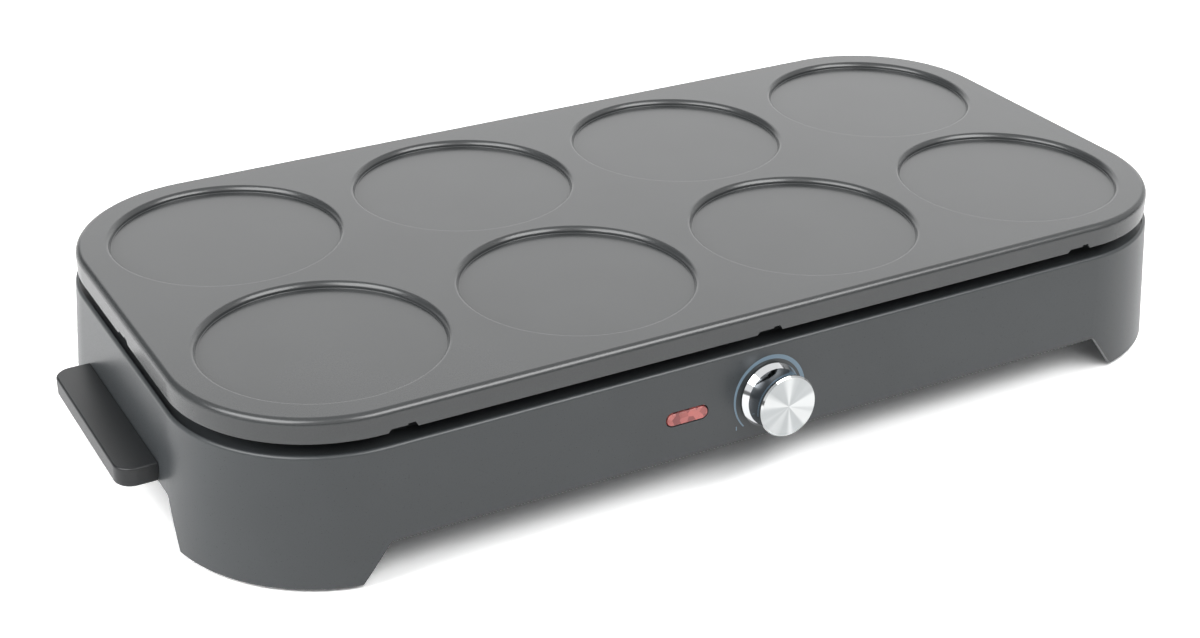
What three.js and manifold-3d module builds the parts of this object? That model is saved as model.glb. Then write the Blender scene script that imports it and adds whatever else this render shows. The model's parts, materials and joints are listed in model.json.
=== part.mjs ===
// Electric pancake maker with eight wells, built as an assembly of separate pieces.
// Units are millimetres, +Z is up, the long front side with the knob faces -Y.
// The origin is on the table, in the middle of the box that holds the whole object.
import * as THREE from 'three';
import { mergeVertices } from 'three/addons/utils/BufferGeometryUtils.js';
import Module from 'manifold-3d';

const wasm = await Module();
wasm.setup();

// Griddle plate: a coated aluminium casting with a skirt round its edge
const plateLength = 495;
const plateWidth = 248.5;
const plateCorner = 66.5;
const plateThickness = 6;
const plateEdgeRound = 2.4;
const rimHeight = 10.9;
const skirtWall = 3.5;

// Wells: two rows of four round hollows
const wellColumns = 4;
const wellRows = 2;
const wellDiameter = 107.4;
const wellPitchX = 120;
const wellPitchY = 115.6;
const wellDepth = 2.9;
const wellLipRound = 1.1;
const wellFloorRound = 1.6;

// Small notches in the skirt's lower edge, three on each long side and one on each short side
const notchPitch = 171.8;
const notchShift = -1.5;
const notchWidth = 13.2;
const notchRun = 2.4;
const notchHeight = 1.6;
const notchBumpWidth = 3.2;
const notchBumpHeight = 0.8;

// Housing: a moulded shell, open below, that widens towards its legs
const footStand = 1.5;
const housingHeight = 59.1;
const housingReveal = 1.3;
const housingSpread = 4.7;
const housingWall = 2.6;
const housingEdgeRound = 1;
const plateGap = 4.9;
const deckWidth = 26;
const deckThickness = 2.6;
const frontArchHeight = 17;
const frontArchMargin = 1.5;
const frontArchRun = 13;
const sideArchHeight = 21.3;
const sideArchMargin = 2.2;
const sideArchRun = 11.5;
const archRound = 3.5;

// Leg columns and the rubber pads plugged into them
const columnRadius = 9;
const columnSetback = 14.5;
const columnRecess = 1.5;
const columnBoreRadius = 5;
const columnBoreDepth = 14;
const columnRibWall = 2.2;
const padRadius = 8;
const padStemLength = 10;

// Bottom cover: a pressed steel sheet with vents
const coverThickness = 1;
const coverLift = 1;
const coverEdgeGap = 0.6;
const coverFixInset = 21;
const coverBossRadius = 4.5;
const coverBossSetback = 6;
const coverBossHoleDepth = 12;
const ventLength = 34;
const ventWidth = 4;
const ventPitch = 12;
const ventsInRow = 4;
const ventRowX = 95;
const ventRowY = 52;

// Handles: solid slabs screwed on from inside the short walls
const handleLength = 97;
const handleReach = 17.3;
const handleThickness = 8.8;
const handleLift = 0.4;
const handleCorner = 8;
const handleEdgeRound = 1;
const handleBite = 6;
const handleFixPitch = 60;

// Screws, by their thread and head
const bigScrewRadius = 2;
const bigHeadRadius = 3.75;
const bigHeadHeight = 2.4;
const smallScrewRadius = 1.4;
const smallHeadRadius = 2.9;
const smallHeadHeight = 1.8;
const socketRadius = 1.2;
const socketDepth = 1;
const handleScrewBite = 11;
const coverScrewBite = 9;

// Plate fixing: a cast boss, a spacer tube and a screw from below at four places
const plateFixInset = 19.5;
const plateBossRadius = 6;
const plateBossHeight = 4;
const spacerRadius = 4.5;
const plateHoleRise = 0.6;
const bossBiteShare = 0.25;

// Heating element: one tube in two nested loops, bedded between cast ribs
const elementRadius = 3.3;
const elementSideInset = 46.25;
const elementEndInset = 19.5;
const elementInnerShare = 0.46;
const elementTurnX = 36;
const elementEndX = -10;
const elementBend = 9;
const bedRibWall = 2.4;
const bedRibHeight = 4.6;
const bedEndGap = 4;

// Spade tabs on the element's and the thermostat's ends
const tabWidth = 6.3;
const tabThickness = 0.8;
const tabLength = 8;
const tabPinRadius = 1.3;
const tabPinLength = 3;

// Heat reflector: a pressed aluminised pan between element and wiring
const reflectorSheet = 0.8;
const reflectorRimInset = 13;
const reflectorWallInset = 34;
const reflectorDepth = 10.4;
const reflectorHoleRadius = 7;

// Knob: chrome base ring, dark body and spun aluminium face
const knobX = -2.2;
const knobLift = 4.1;
const knobProud = 15;
const knobWallGap = 0.6;
const ringRadius = 14.9;
const ringHeight = 3.2;
const ringChamfer = 0.9;
const ringWall = 2.2;
const bodyShoulderRadius = 13.5;
const bodyWaistRadius = 12.6;
const bodyNeckRadius = 13.1;
const faceRadius = 14.05;
const faceThickness = 1.6;
const faceChamfer = 0.5;
const knobHollowRadius = 8.8;
const knobHollowDepth = 4.6;
const knobSocketDepth = 11;

// Thermostat with a single-hole bush and a bulb on a capillary tube
const spindleRadius = 3;
const spindleFlat = 0.8;
const spindleInside = 9.5;
const bushRadius = 4.8;
const bushReach = 4.2;
const nutFlats = 12;
const nutThickness = 2.2;
const mountPlateWidth = 30;
const mountPlateHeight = 16;
const mountPlateThickness = 1.2;
const thermostatWidth = 34;
const thermostatTall = 16.6;
const thermostatDepth = 22;
const thermostatTabPitch = 18;
const bulbRadius = 2.6;
const bulbLength = 66;
const bulbX = -42;
const capillaryRadius = 1;
const capillaryHoleX = -26;
const clipSheet = 0.8;
const clipWidth = 9;
const clipFoot = 4.5;

// Thermal fuse in a sleeve under the plate
const fuseRadius = 2.4;
const fuseLength = 26;
const fuseX = 98;

// Indicator: lens, neon lamp and the holder behind it
const lensX = -44;
const lensRise = 0.4;
const lensWidth = 20;
const lensTall = 5.6;
const lensProud = 0.4;
const lensFlange = 1.3;
const lensFlangeThickness = 1.2;
const holderWall = 1.2;
const holderDepth = 13;
const neonRadius = 1.9;
const neonLength = 15;
const lensFacets = 6;

// Cord gland in the rear wall
const glandInset = 35;
const glandLift = 4.2;
const glandBoreRadius = 4.5;
const glandRadius = 6.5;
const glandFlangeRadius = 8.6;
const glandFlangeThickness = 1.8;
const glandReach = 14;

// Terminal block on the bottom cover
const blockX = -118;
const blockY = 78;
const blockWidth = 34;
const blockDepth = 18;
const blockTall = 14;
const blockWays = 3;
const blockPitch = 10;
const blockHoleRadius = 2.4;
const blockHoleDepth = 6;

// Earth tag under the plate
const earthX = -44;
const earthBossRadius = 4.5;
const earthTagRadius = 4;
const earthTagSheet = 0.8;
const earthHoleY = 22;

// Insulated leads: each lies at its own level above the cover
const leadRadius = 1.5;
const lampLeadRadius = 0.8;
const lampLeadPitch = 9;
const leadStraight = 6;
const leadShares = [0.3, 0.7];

// Heights in the wiring space, as shares of it from the cover up to the reflector
const tabLowShare = 0.44;
const leadRiseShare = 0.15;
const leadLowShare = 0.21;
const leadLevelShare = 0.12;
const capillaryRiseShare = 0.25;

// Clearances and the overrun of every cut
const seatGap = 0.3;
const runGap = 0.3;
const screwGap = 0.3;
const overrun = 8;

// Facets round a full turn or a quarter of one
const wellFacets = 36;
const wellRoundFacets = 2;
const cornerFacets = 8;
const roundFacets = 2;
const archFacets = 3;
const knobFacets = 36;
const flangeFacets = 20;
const rodFacets = 12;
const ventFacets = 4;
const tubeFacets = 8;
const leadFacets = 6;
const leadSteps = 16;
const bendChord = 16;
const leastBendFacets = 3;
const hexFacets = 6;

// Heights, half sizes and the element's places worked out from the sizes above
const housingTop = footStand + housingHeight;
const rimLow = housingTop + plateGap;
const plateTop = rimLow + rimHeight;
const plateUnder = plateTop - plateThickness;
const deckLow = housingTop - deckThickness;
const sideArchTop = footStand + sideArchHeight;
const coverLow = sideArchTop + coverLift;
const coverTop = coverLow + coverThickness;
const cornerX = plateLength / 2 - plateCorner;
const cornerY = plateWidth / 2 - plateCorner;
const reflectorRimLow = housingTop + seatGap;
const reflectorRimTop = reflectorRimLow + reflectorSheet;
const reflectorFloor = reflectorRimTop - reflectorDepth;
const wiringSpace = reflectorFloor - coverTop;
const leadRise = leadRiseShare * wiringSpace;
const tabLowZ = coverTop + tabLowShare * wiringSpace;
const tabHighZ = tabLowZ + tabLength;
const tabPinTop = tabHighZ + tabPinLength;
const elementEndLow = tabPinTop + seatGap;
const coverFixX = cornerX - coverFixInset;
const glandX = glandInset - coverFixX;
const elementZ = plateUnder - seatGap - elementRadius;
const elementOuterY = plateWidth / 2 - elementSideInset;
const elementInnerY = elementInnerShare * elementOuterY;
const elementLoopX = plateLength / 2 - elementEndInset - elementOuterY;
const draftAngle = Math.atan(housingSpread / housingHeight);
const quarterTurn = Math.PI / 2;
const signs = [-1, 1];

// How far the housing's outer wall stands outside the plate's outline at a height
function wallOffset(z) {
  return housingReveal + housingSpread * (housingTop - z) / housingHeight;
}

// How far a round piece on the leaning wall reaches in Y, by its height, its front and its radius
function wallReach(z, proud, radius) {
  return plateWidth / 2 + wallOffset(z) + proud * Math.cos(draftAngle) + radius * Math.sin(draftAngle);
}

// The object's middle in Y lies between the knob's face and the gland's flange
const knobZ = coverTop + knobLift + thermostatTall / 2;
const lensZ = knobZ + lensRise;
const glandZ = coverTop + glandLift + glandRadius;
const frontReach = wallReach(knobZ, knobProud, faceRadius);
const rearReach = wallReach(glandZ, glandFlangeThickness + seatGap, glandFlangeRadius);
const bodyShiftY = (frontReach - rearReach) / 2;

const model = new THREE.Group();
const body = new THREE.Group();
body.position.y = bodyShiftY;
model.add(body);

// Finishes
const coatedPlate = { color: 0x3c3e40, roughness: 0.45, metalness: 0.2 };
const darkPlastic = { color: 0x333537, roughness: 0.5, metalness: 0 };
const knobPlastic = { color: 0x1c1f22, roughness: 0.2, metalness: 0 };
const chrome = { color: 0xd8dadc, roughness: 0.08, metalness: 1 };
const spunAluminium = { color: 0xdfe1e2, roughness: 0.25, metalness: 1 };
const steel = { color: 0xa9acaf, roughness: 0.35, metalness: 1 };
const coatedSteel = { color: 0x2d2f31, roughness: 0.5, metalness: 0.6 };
const elementSteel = { color: 0x5f5d58, roughness: 0.45, metalness: 0.9 };
const brass = { color: 0xb79a54, roughness: 0.35, metalness: 1 };
const copper = { color: 0xb06f4a, roughness: 0.35, metalness: 1 };
const bakelite = { color: 0x2a211c, roughness: 0.4, metalness: 0 };
const rubber = { color: 0x1a1b1c, roughness: 0.8, metalness: 0 };
const redLens = { color: 0xc2403a, roughness: 0.15, metalness: 0 };
const lampGlass = { color: 0xe6dccb, roughness: 0.1, metalness: 0 };
const paleNylon = { color: 0xe2dfd6, roughness: 0.5, metalness: 0 };
const fuseSleeve = { color: 0xd9d4c4, roughness: 0.7, metalness: 0 };
const brownSleeve = { color: 0x6a4028, roughness: 0.6, metalness: 0 };
const blueSleeve = { color: 0x2f5f9c, roughness: 0.6, metalness: 0 };
const greenSleeve = { color: 0x5c8a35, roughness: 0.6, metalness: 0 };

// A closed solid from a geometry: shared corners merged, collapsed faces left out, faces turned outwards
function solidOf(geometry) {
  const bare = geometry.clone();
  bare.deleteAttribute('normal');
  bare.deleteAttribute('uv');
  const merged = mergeVertices(bare);
  const points = merged.getAttribute('position').array;
  const index = merged.getIndex().array;
  const faces = [];
  let volume = 0;
  const a = new THREE.Vector3();
  const b = new THREE.Vector3();
  const c = new THREE.Vector3();
  for (let i = 0; i < index.length; i += 3) {
    const [p, q, r] = index.slice(i, i + 3);
    if (p === q || q === r || r === p) continue;
    faces.push(p, q, r);
    a.fromArray(points, 3 * p);
    b.fromArray(points, 3 * q);
    c.fromArray(points, 3 * r);
    volume += a.dot(b.cross(c));
  }
  if (volume < 0) faces.reverse();
  const mesh = new wasm.Mesh({
    numProp: 3,
    vertProperties: new Float32Array(points),
    triVerts: new Uint32Array(faces),
  });
  return new wasm.Manifold(mesh);
}

function geometryOf(solid) {
  const mesh = solid.getMesh();
  const geometry = new THREE.BufferGeometry();
  geometry.setAttribute('position', new THREE.BufferAttribute(mesh.vertProperties, 3));
  geometry.setIndex(new THREE.BufferAttribute(mesh.triVerts, 1));
  geometry.computeVertexNormals();
  return geometry;
}

function join(first, ...others) {
  return others.reduce((whole, other) => whole.add(solidOf(other)), solidOf(first));
}

function cut(whole, ...cutters) {
  return cutters.reduce((left, cutter) => left.subtract(solidOf(cutter)), whole);
}

function place(name, solid, finish, parent = body) {
  const mesh = new THREE.Mesh(geometryOf(solid), new THREE.MeshStandardMaterial(finish));
  mesh.name = name;
  parent.add(mesh);
  return mesh;
}

function block(x, y, z) {
  const geometry = new THREE.BoxGeometry(x[1] - x[0], y[1] - y[0], z[1] - z[0]);
  return geometry.translate((x[0] + x[1]) / 2, (y[0] + y[1]) / 2, (z[0] + z[1]) / 2);
}

// An upright round rod between two heights
function rodZ(radius, x, y, z, facets = rodFacets) {
  const geometry = new THREE.CylinderGeometry(radius, radius, z[1] - z[0], facets);
  return geometry.rotateX(quarterTurn).translate(x, y, (z[0] + z[1]) / 2);
}

// A round rod along Y between two places
function rodY(radius, x, y, z, facets = rodFacets) {
  const geometry = new THREE.CylinderGeometry(radius, radius, y[1] - y[0], facets);
  return geometry.translate(x, (y[0] + y[1]) / 2, z);
}

// A round rod along X between two places
function rodX(radius, x, y, z, facets = rodFacets) {
  const geometry = new THREE.CylinderGeometry(radius, radius, x[1] - x[0], facets);
  return geometry.rotateZ(quarterTurn).translate((x[0] + x[1]) / 2, y, z);
}

// A solid turned about the Y axis from a closed profile of [radius, y] points
function turnedY(profile, facets) {
  const points = profile.map(([radius, y]) => new THREE.Vector2(radius, y));
  return new THREE.LatheGeometry(points, facets);
}

// Points of a quarter round from one angle to another about a centre
function roundPoints(centreA, centreB, radius, from, to, facets = roundFacets) {
  const points = [];
  for (let i = 0; i <= facets; i += 1) {
    const angle = from + (to - from) * i / facets;
    points.push([centreA + radius * Math.cos(angle), centreB + radius * Math.sin(angle)]);
  }
  return points;
}

// The plate's rounded outline, moved outwards by an offset
function outlineShape(offset) {
  const radius = plateCorner + offset;
  const shape = new THREE.Shape();
  shape.absarc(cornerX, cornerY, radius, 0, quarterTurn);
  shape.absarc(-cornerX, cornerY, radius, quarterTurn, 2 * quarterTurn);
  shape.absarc(-cornerX, -cornerY, radius, 2 * quarterTurn, 3 * quarterTurn);
  shape.absarc(cornerX, -cornerY, radius, 3 * quarterTurn, 4 * quarterTurn);
  shape.closePath();
  return shape;
}

// A solid through levels of [height, offset], each the plate's outline moved out by its offset
function loft(levels) {
  const geometry = new THREE.ExtrudeGeometry(outlineShape(0), {
    depth: levels.length - 1,
    steps: levels.length - 1,
    bevelEnabled: false,
    curveSegments: cornerFacets,
  });
  const position = geometry.getAttribute('position');
  const point = new THREE.Vector3();
  for (let i = 0; i < position.count; i += 1) {
    point.fromBufferAttribute(position, i);
    const [z, offset] = levels[Math.round(point.z)];
    const hubX = THREE.MathUtils.clamp(point.x, -cornerX, cornerX);
    const hubY = THREE.MathUtils.clamp(point.y, -cornerY, cornerY);
    const scale = (plateCorner + offset) / plateCorner;
    position.setXYZ(i, hubX + (point.x - hubX) * scale, hubY + (point.y - hubY) * scale, z);
  }
  return geometry;
}

// A prism from a THREE.Shape drawn in X and Z, running along Y
function prismY(shape, y, facets = archFacets) {
  const settings = { depth: y[1] - y[0], bevelEnabled: false, curveSegments: facets };
  const geometry = new THREE.ExtrudeGeometry(shape, settings);
  return geometry.rotateX(quarterTurn).translate(0, y[1], 0);
}

// A frame on the outer wall: its -Y points straight out of the leaning wall, its origin lies on the wall
function wallFrame(side, x, z) {
  const turn = new THREE.Matrix4().makeRotationZ(side < 0 ? 0 : 2 * quarterTurn);
  const lean = new THREE.Matrix4().makeRotationX(-draftAngle);
  const shift = new THREE.Matrix4().makeTranslation(x, side * (plateWidth / 2 + wallOffset(z)), z);
  return shift.multiply(turn).multiply(lean);
}

function groupAt(matrix) {
  const group = new THREE.Group();
  group.applyMatrix4(matrix);
  body.add(group);
  return group;
}

const knobFrame = wallFrame(-1, knobX, knobZ);
const lensFrame = wallFrame(-1, lensX, lensZ);
const glandFrame = wallFrame(1, glandX, glandZ);

// A flat stadium outline in X and Z
function stadiumShape(width, height) {
  const radius = height / 2;
  const reach = width / 2 - radius;
  const shape = new THREE.Shape();
  shape.absarc(reach, 0, radius, -quarterTurn, quarterTurn);
  shape.absarc(-reach, 0, radius, quarterTurn, 3 * quarterTurn);
  shape.closePath();
  return shape;
}

// A screw along Z: its head at the low end, its shank running up
function screwZ(x, y, headLow, headRadius, headHeight, radius, tip) {
  const shankLow = headLow + headHeight / 2;
  const whole = join(
    rodZ(headRadius, x, y, [headLow, headLow + headHeight]),
    rodZ(radius, x, y, [shankLow, tip]),
  );
  return cut(whole, rodZ(socketRadius, x, y, [headLow - overrun, headLow + socketDepth], hexFacets));
}

const plateFixes = [];
for (const sideX of signs) {
  for (const sideY of signs) {
    plateFixes.push([sideX * wellPitchX, sideY * (plateWidth / 2 - plateFixInset)]);
  }
}

// Wells are cut with one turned shape: flat floor, rounded foot and rounded lip
function wellCutter(x, y) {
  const rim = wellDiameter / 2;
  const wall = rim - wellLipRound;
  const footZ = plateTop - wellDepth + wellFloorRound;
  const lipZ = plateTop - wellLipRound;
  const foot = roundPoints(wall - wellFloorRound, footZ, wellFloorRound, -quarterTurn, 0, wellRoundFacets);
  const lip = roundPoints(rim, lipZ, wellLipRound, 2 * quarterTurn, quarterTurn, wellRoundFacets);
  const over = plateTop + overrun;
  const profile = [[0, plateTop - wellDepth], ...foot, ...lip, [rim, over], [0, over]];
  return turnedY(profile, wellFacets).rotateX(quarterTurn).translate(x, y, 0);
}

// A notch in the skirt, drawn along the rim: sloping ends, and a small bump at its far top end
function notchShape() {
  const half = notchWidth / 2;
  const flat = half - notchRun;
  const shape = new THREE.Shape();
  shape.moveTo(-half, -overrun);
  shape.lineTo(half, -overrun);
  shape.lineTo(half, 0);
  shape.lineTo(flat, notchHeight + notchBumpHeight);
  shape.lineTo(flat - notchBumpWidth, notchHeight + notchBumpHeight);
  shape.lineTo(flat - notchBumpWidth, notchHeight);
  shape.lineTo(-flat, notchHeight);
  shape.lineTo(-half, 0);
  shape.closePath();
  return shape;
}

function notchCutters() {
  const cutters = [];
  for (const side of signs) {
    for (const step of [-1, 0, 1]) {
      const notch = prismY(notchShape(), [-overrun, skirtWall + overrun]);
      if (side > 0) notch.rotateZ(2 * quarterTurn);
      const x = step * notchPitch + notchShift;
      cutters.push(notch.translate(x, side * plateWidth / 2, rimLow));
    }
    const end = prismY(notchShape(), [-skirtWall - overrun, overrun]).rotateZ(-side * quarterTurn);
    cutters.push(end.translate(side * plateLength / 2, 0, rimLow));
  }
  return cutters;
}

// A circular arc between two arms about its centre
class ArcCurve3 extends THREE.Curve {
  constructor(centre, armA, armB, sweep) {
    super();
    Object.assign(this, { centre, armA, armB, sweep });
  }

  getPoint(t, target = new THREE.Vector3()) {
    const angle = this.sweep * t;
    target.copy(this.centre);
    target.addScaledVector(this.armA, Math.cos(angle));
    return target.addScaledVector(this.armB, Math.sin(angle));
  }
}

function flatLine(fromX, toX, y) {
  return new THREE.LineCurve3(new THREE.Vector3(fromX, y, elementZ), new THREE.Vector3(toX, y, elementZ));
}

// A flat arc that starts at an angle and sweeps by another, about a centre
function flatArc(x, y, radius, start, sweep) {
  const armA = new THREE.Vector3(Math.cos(start), Math.sin(start), 0).multiplyScalar(radius);
  const armB = new THREE.Vector3(-Math.sin(start), Math.cos(start), 0).multiplyScalar(radius);
  return new ArcCurve3(new THREE.Vector3(x, y, elementZ), armA, armB, sweep);
}

// The element's centre line in the plane under the plate, as lines and arcs
const elementFlatX = elementEndX - elementBend;
const turnRadius = (elementOuterY - elementInnerY) / 2;
const turnMiddleY = -(elementOuterY + elementInnerY) / 2;

function elementLoops(inset) {
  return [
    flatLine(elementFlatX - inset, -elementLoopX, -elementOuterY),
    flatArc(-elementLoopX, 0, elementOuterY, 3 * quarterTurn, -2 * quarterTurn),
    flatLine(-elementLoopX, elementLoopX, elementOuterY),
    flatArc(elementLoopX, 0, elementOuterY, quarterTurn, -2 * quarterTurn),
    flatLine(elementLoopX, elementTurnX, -elementOuterY),
    flatArc(elementTurnX, turnMiddleY, turnRadius, 3 * quarterTurn, -2 * quarterTurn),
    flatLine(elementTurnX, elementLoopX, -elementInnerY),
    flatArc(elementLoopX, 0, elementInnerY, -quarterTurn, 2 * quarterTurn),
    flatLine(elementLoopX, -elementLoopX, elementInnerY),
    flatArc(-elementLoopX, 0, elementInnerY, quarterTurn, 2 * quarterTurn),
    flatLine(-elementLoopX, elementFlatX - inset, -elementInnerY),
  ];
}

// An end of the element: down through the reflector, or up out of it
function elementEnd(y, rising) {
  const low = new THREE.Vector3(elementEndX, y, elementEndLow);
  const high = new THREE.Vector3(elementEndX, y, elementZ - elementBend);
  const centre = new THREE.Vector3(elementFlatX, y, elementZ - elementBend);
  const outward = new THREE.Vector3(elementBend, 0, 0);
  const upward = new THREE.Vector3(0, 0, elementBend);
  if (rising) {
    return [new THREE.LineCurve3(low, high), new ArcCurve3(centre, outward, upward, quarterTurn)];
  }
  return [new ArcCurve3(centre, upward, outward, quarterTurn), new THREE.LineCurve3(high, low)];
}

// A path that stops only where it bends: two stations on a line, more along an arc
class StationPath extends THREE.Curve {
  constructor(curves) {
    super();
    const ends = [{ point: curves[0].getPoint(0), tangent: curves[0].getTangent(0) }];
    for (const curve of curves) {
      const bends = curve instanceof ArcCurve3;
      const steps = bends ? Math.max(leastBendFacets, Math.ceil(curve.getLength() / bendChord)) : 1;
      for (let i = 1; i <= steps; i += 1) {
        ends.push({ point: curve.getPoint(i / steps), tangent: curve.getTangent(i / steps) });
      }
    }
    this.stations = ends;
  }

  getPointAt(u) {
    return this.stations[Math.round(u * (this.stations.length - 1))].point.clone();
  }

  getTangentAt(u) {
    return this.stations[Math.round(u * (this.stations.length - 1))].tangent.clone();
  }
}

function sweep(shape, path, steps) {
  return new THREE.ExtrudeGeometry(shape, { steps, extrudePath: path });
}

function sweepStations(shape, path) {
  return sweep(shape, path, path.stations.length - 1);
}

// A round section with a set number of sides
function roundSection(radius, facets = tubeFacets) {
  const points = [];
  for (let i = 0; i < facets; i += 1) {
    const angle = 4 * quarterTurn * i / facets;
    points.push(new THREE.Vector2(radius * Math.cos(angle), radius * Math.sin(angle)));
  }
  return new THREE.Shape(points);
}

// A rib beside the element: its section's first axis points down along the path
function bedRibSection(side) {
  const near = side * (elementRadius + seatGap);
  const far = side * (elementRadius + seatGap + bedRibWall);
  const top = -elementRadius - 2 * seatGap;
  const low = bedRibHeight - elementRadius - seatGap;
  const points = [[top, near], [low, near], [low, far], [top, far]];
  return new THREE.Shape(points.map(([x, y]) => new THREE.Vector2(x, y)));
}

const bossLow = plateUnder - plateBossHeight;
const plateBossTop = plateUnder + bossBiteShare * plateThickness;
const screwHoleTop = plateUnder + plateHoleRise;

function griddlePlate() {
  const roundLow = plateTop - plateEdgeRound;
  const edge = roundPoints(-plateEdgeRound, roundLow, plateEdgeRound, 0, quarterTurn).map(([a, b]) => [b, a]);
  const outer = loft([[rimLow, 0], ...edge]);
  const hollow = loft([[rimLow - overrun, -skirtWall], [plateUnder, -skirtWall]]);
  const bed = new StationPath(elementLoops(bedEndGap));
  let plate = cut(solidOf(outer), hollow);
  for (const side of signs) plate = plate.add(solidOf(sweepStations(bedRibSection(side), bed)));
  const bossSpan = [bossLow, plateBossTop];
  for (const [x, y] of plateFixes) plate = plate.add(solidOf(rodZ(plateBossRadius, x, y, bossSpan)));
  plate = plate.add(solidOf(rodZ(earthBossRadius, earthX, 0, bossSpan)));
  for (const [x, y] of plateFixes) {
    plate = cut(plate, rodZ(bigScrewRadius + screwGap, x, y, [bossLow - overrun, screwHoleTop]));
  }
  plate = cut(plate, rodZ(smallScrewRadius + screwGap, earthX, 0, [bossLow - overrun, screwHoleTop]));
  for (let column = 0; column < wellColumns; column += 1) {
    for (let row = 0; row < wellRows; row += 1) {
      const x = (column - (wellColumns - 1) / 2) * wellPitchX;
      const y = (row - (wellRows - 1) / 2) * wellPitchY;
      plate = cut(plate, wellCutter(x, y));
    }
  }
  return cut(plate, ...notchCutters());
}

// The housing's outer and inner walls lean alike
function leaningBody(extra, low, high) {
  return loft([[low, wallOffset(low) + extra], [high, wallOffset(high) + extra]]);
}

// An arch between two legs: sloping ends with rounded corners, drawn along the wall
function archShape(halfTop, run, height) {
  const slope = Math.atan2(height, run);
  const tangent = archRound * Math.tan(slope / 2);
  const halfLow = halfTop + run + overrun / Math.tan(slope);
  const sideX = halfTop + tangent * Math.cos(slope);
  const sideZ = height - tangent * Math.sin(slope);
  const shape = new THREE.Shape();
  shape.moveTo(-halfLow, -overrun);
  shape.lineTo(halfLow, -overrun);
  shape.lineTo(sideX, sideZ);
  shape.quadraticCurveTo(halfTop, height, halfTop - tangent, height);
  shape.lineTo(-halfTop + tangent, height);
  shape.quadraticCurveTo(-halfTop, height, -sideX, sideZ);
  shape.closePath();
  return shape;
}

function columnCentre(sideX, sideY) {
  const reach = (plateCorner - columnSetback) * Math.SQRT1_2;
  return [sideX * (cornerX + reach), sideY * (cornerY + reach)];
}

function coverBossY() {
  return plateWidth / 2 + wallOffset(housingTop) - coverBossSetback;
}

const handleLow = sideArchTop + handleLift;
const handleTop = handleLow + handleThickness;
const handleMidZ = (handleLow + handleTop) / 2;
const handleFixY = handleFixPitch / 2;

function housing() {
  const roundLow = housingTop - housingEdgeRound;
  const lean = wallOffset(roundLow) - wallOffset(housingTop);
  const edgeCentre = wallOffset(housingTop) - housingEdgeRound;
  const edge = roundPoints(edgeCentre, roundLow, housingEdgeRound, 0, quarterTurn);
  const edgeLevels = edge.map(([a, b]) => [b, a + lean * (housingTop - b) / housingEdgeRound]);
  const outer = loft([[footStand, wallOffset(footStand)], ...edgeLevels]);
  const inner = leaningBody(-housingWall, footStand - overrun, deckLow);
  const mouth = loft([[deckLow - overrun, -deckWidth], [housingTop + overrun, -deckWidth]]);
  let shell = cut(solidOf(outer), inner, mouth);
  for (const sideX of signs) {
    for (const sideY of signs) {
      const [x, y] = columnCentre(sideX, sideY);
      shell = shell.add(solidOf(rodZ(columnRadius, x, y, [footStand + columnRecess, deckLow + seatGap])));
      const ribReach = columnSetback + wallOffset(footStand) - housingWall / 2;
      const ribLow = coverTop + coverEdgeGap;
      const rib = block([0, ribReach], [-columnRibWall / 2, columnRibWall / 2], [ribLow, deckLow + seatGap]);
      rib.rotateZ(Math.atan2(sideY, sideX)).translate(x, y, 0);
      shell = shell.add(solidOf(rib).intersect(solidOf(leaningBody(-housingWall / 2, 0, housingTop))));
    }
    for (const sideY of signs) {
      const x = sideX * coverFixX;
      const y = sideY * coverBossY();
      shell = shell.add(solidOf(rodZ(coverBossRadius, x, y, [coverTop + seatGap, deckLow + seatGap])));
    }
  }
  for (const sideX of signs) {
    for (const sideY of signs) {
      const [x, y] = columnCentre(sideX, sideY);
      const boreTop = footStand + columnRecess + columnBoreDepth;
      shell = cut(shell, rodZ(columnBoreRadius, x, y, [footStand - overrun, boreTop]));
      const holeTop = coverTop + coverBossHoleDepth;
      const holeX = sideX * coverFixX;
      const holeY = sideY * coverBossY();
      shell = cut(shell, rodZ(smallScrewRadius + screwGap, holeX, holeY, [coverLow - overrun, holeTop]));
    }
  }
  const acrossY = plateWidth / 2 + wallOffset(footStand) + overrun;
  const acrossX = plateLength / 2 + wallOffset(footStand) + overrun;
  const frontArch = archShape(cornerX + frontArchMargin, frontArchRun, frontArchHeight);
  const sideArch = archShape(cornerY + sideArchMargin, sideArchRun, sideArchHeight);
  shell = cut(shell, prismY(frontArch, [-acrossY, acrossY]).translate(0, 0, footStand));
  shell = cut(shell, prismY(sideArch, [-acrossX, acrossX]).rotateZ(quarterTurn).translate(0, 0, footStand));
  for (const [x, y] of plateFixes) {
    shell = cut(shell, rodZ(bigScrewRadius + screwGap, x, y, [deckLow - overrun, housingTop + overrun]));
  }
  for (const sideX of signs) {
    for (const sideY of signs) {
      const wallX = sideX * (plateLength / 2 + wallOffset(handleMidZ));
      const span = [wallX - overrun, wallX + overrun];
      shell = cut(shell, rodX(bigScrewRadius + screwGap, span, sideY * handleFixY, handleMidZ));
    }
  }
  const through = [-overrun, overrun];
  shell = cut(shell, rodY(bushRadius + screwGap, 0, through, 0).applyMatrix4(knobFrame));
  const lensSlot = stadiumShape(lensWidth + 2 * seatGap, lensTall + 2 * seatGap);
  shell = cut(shell, prismY(lensSlot, through, lensFacets).applyMatrix4(lensFrame));
  return cut(shell, rodY(glandRadius + screwGap, 0, through, 0).applyMatrix4(glandFrame));
}

// Stadium slot through the cover, long way along Y
function ventCutter(x, y) {
  const shape = stadiumShape(ventLength, ventWidth);
  const settings = { depth: 2 * overrun, bevelEnabled: false, curveSegments: ventFacets };
  const slot = new THREE.ExtrudeGeometry(shape, settings);
  return slot.rotateZ(quarterTurn).translate(x, y, coverLow - overrun);
}

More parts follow.
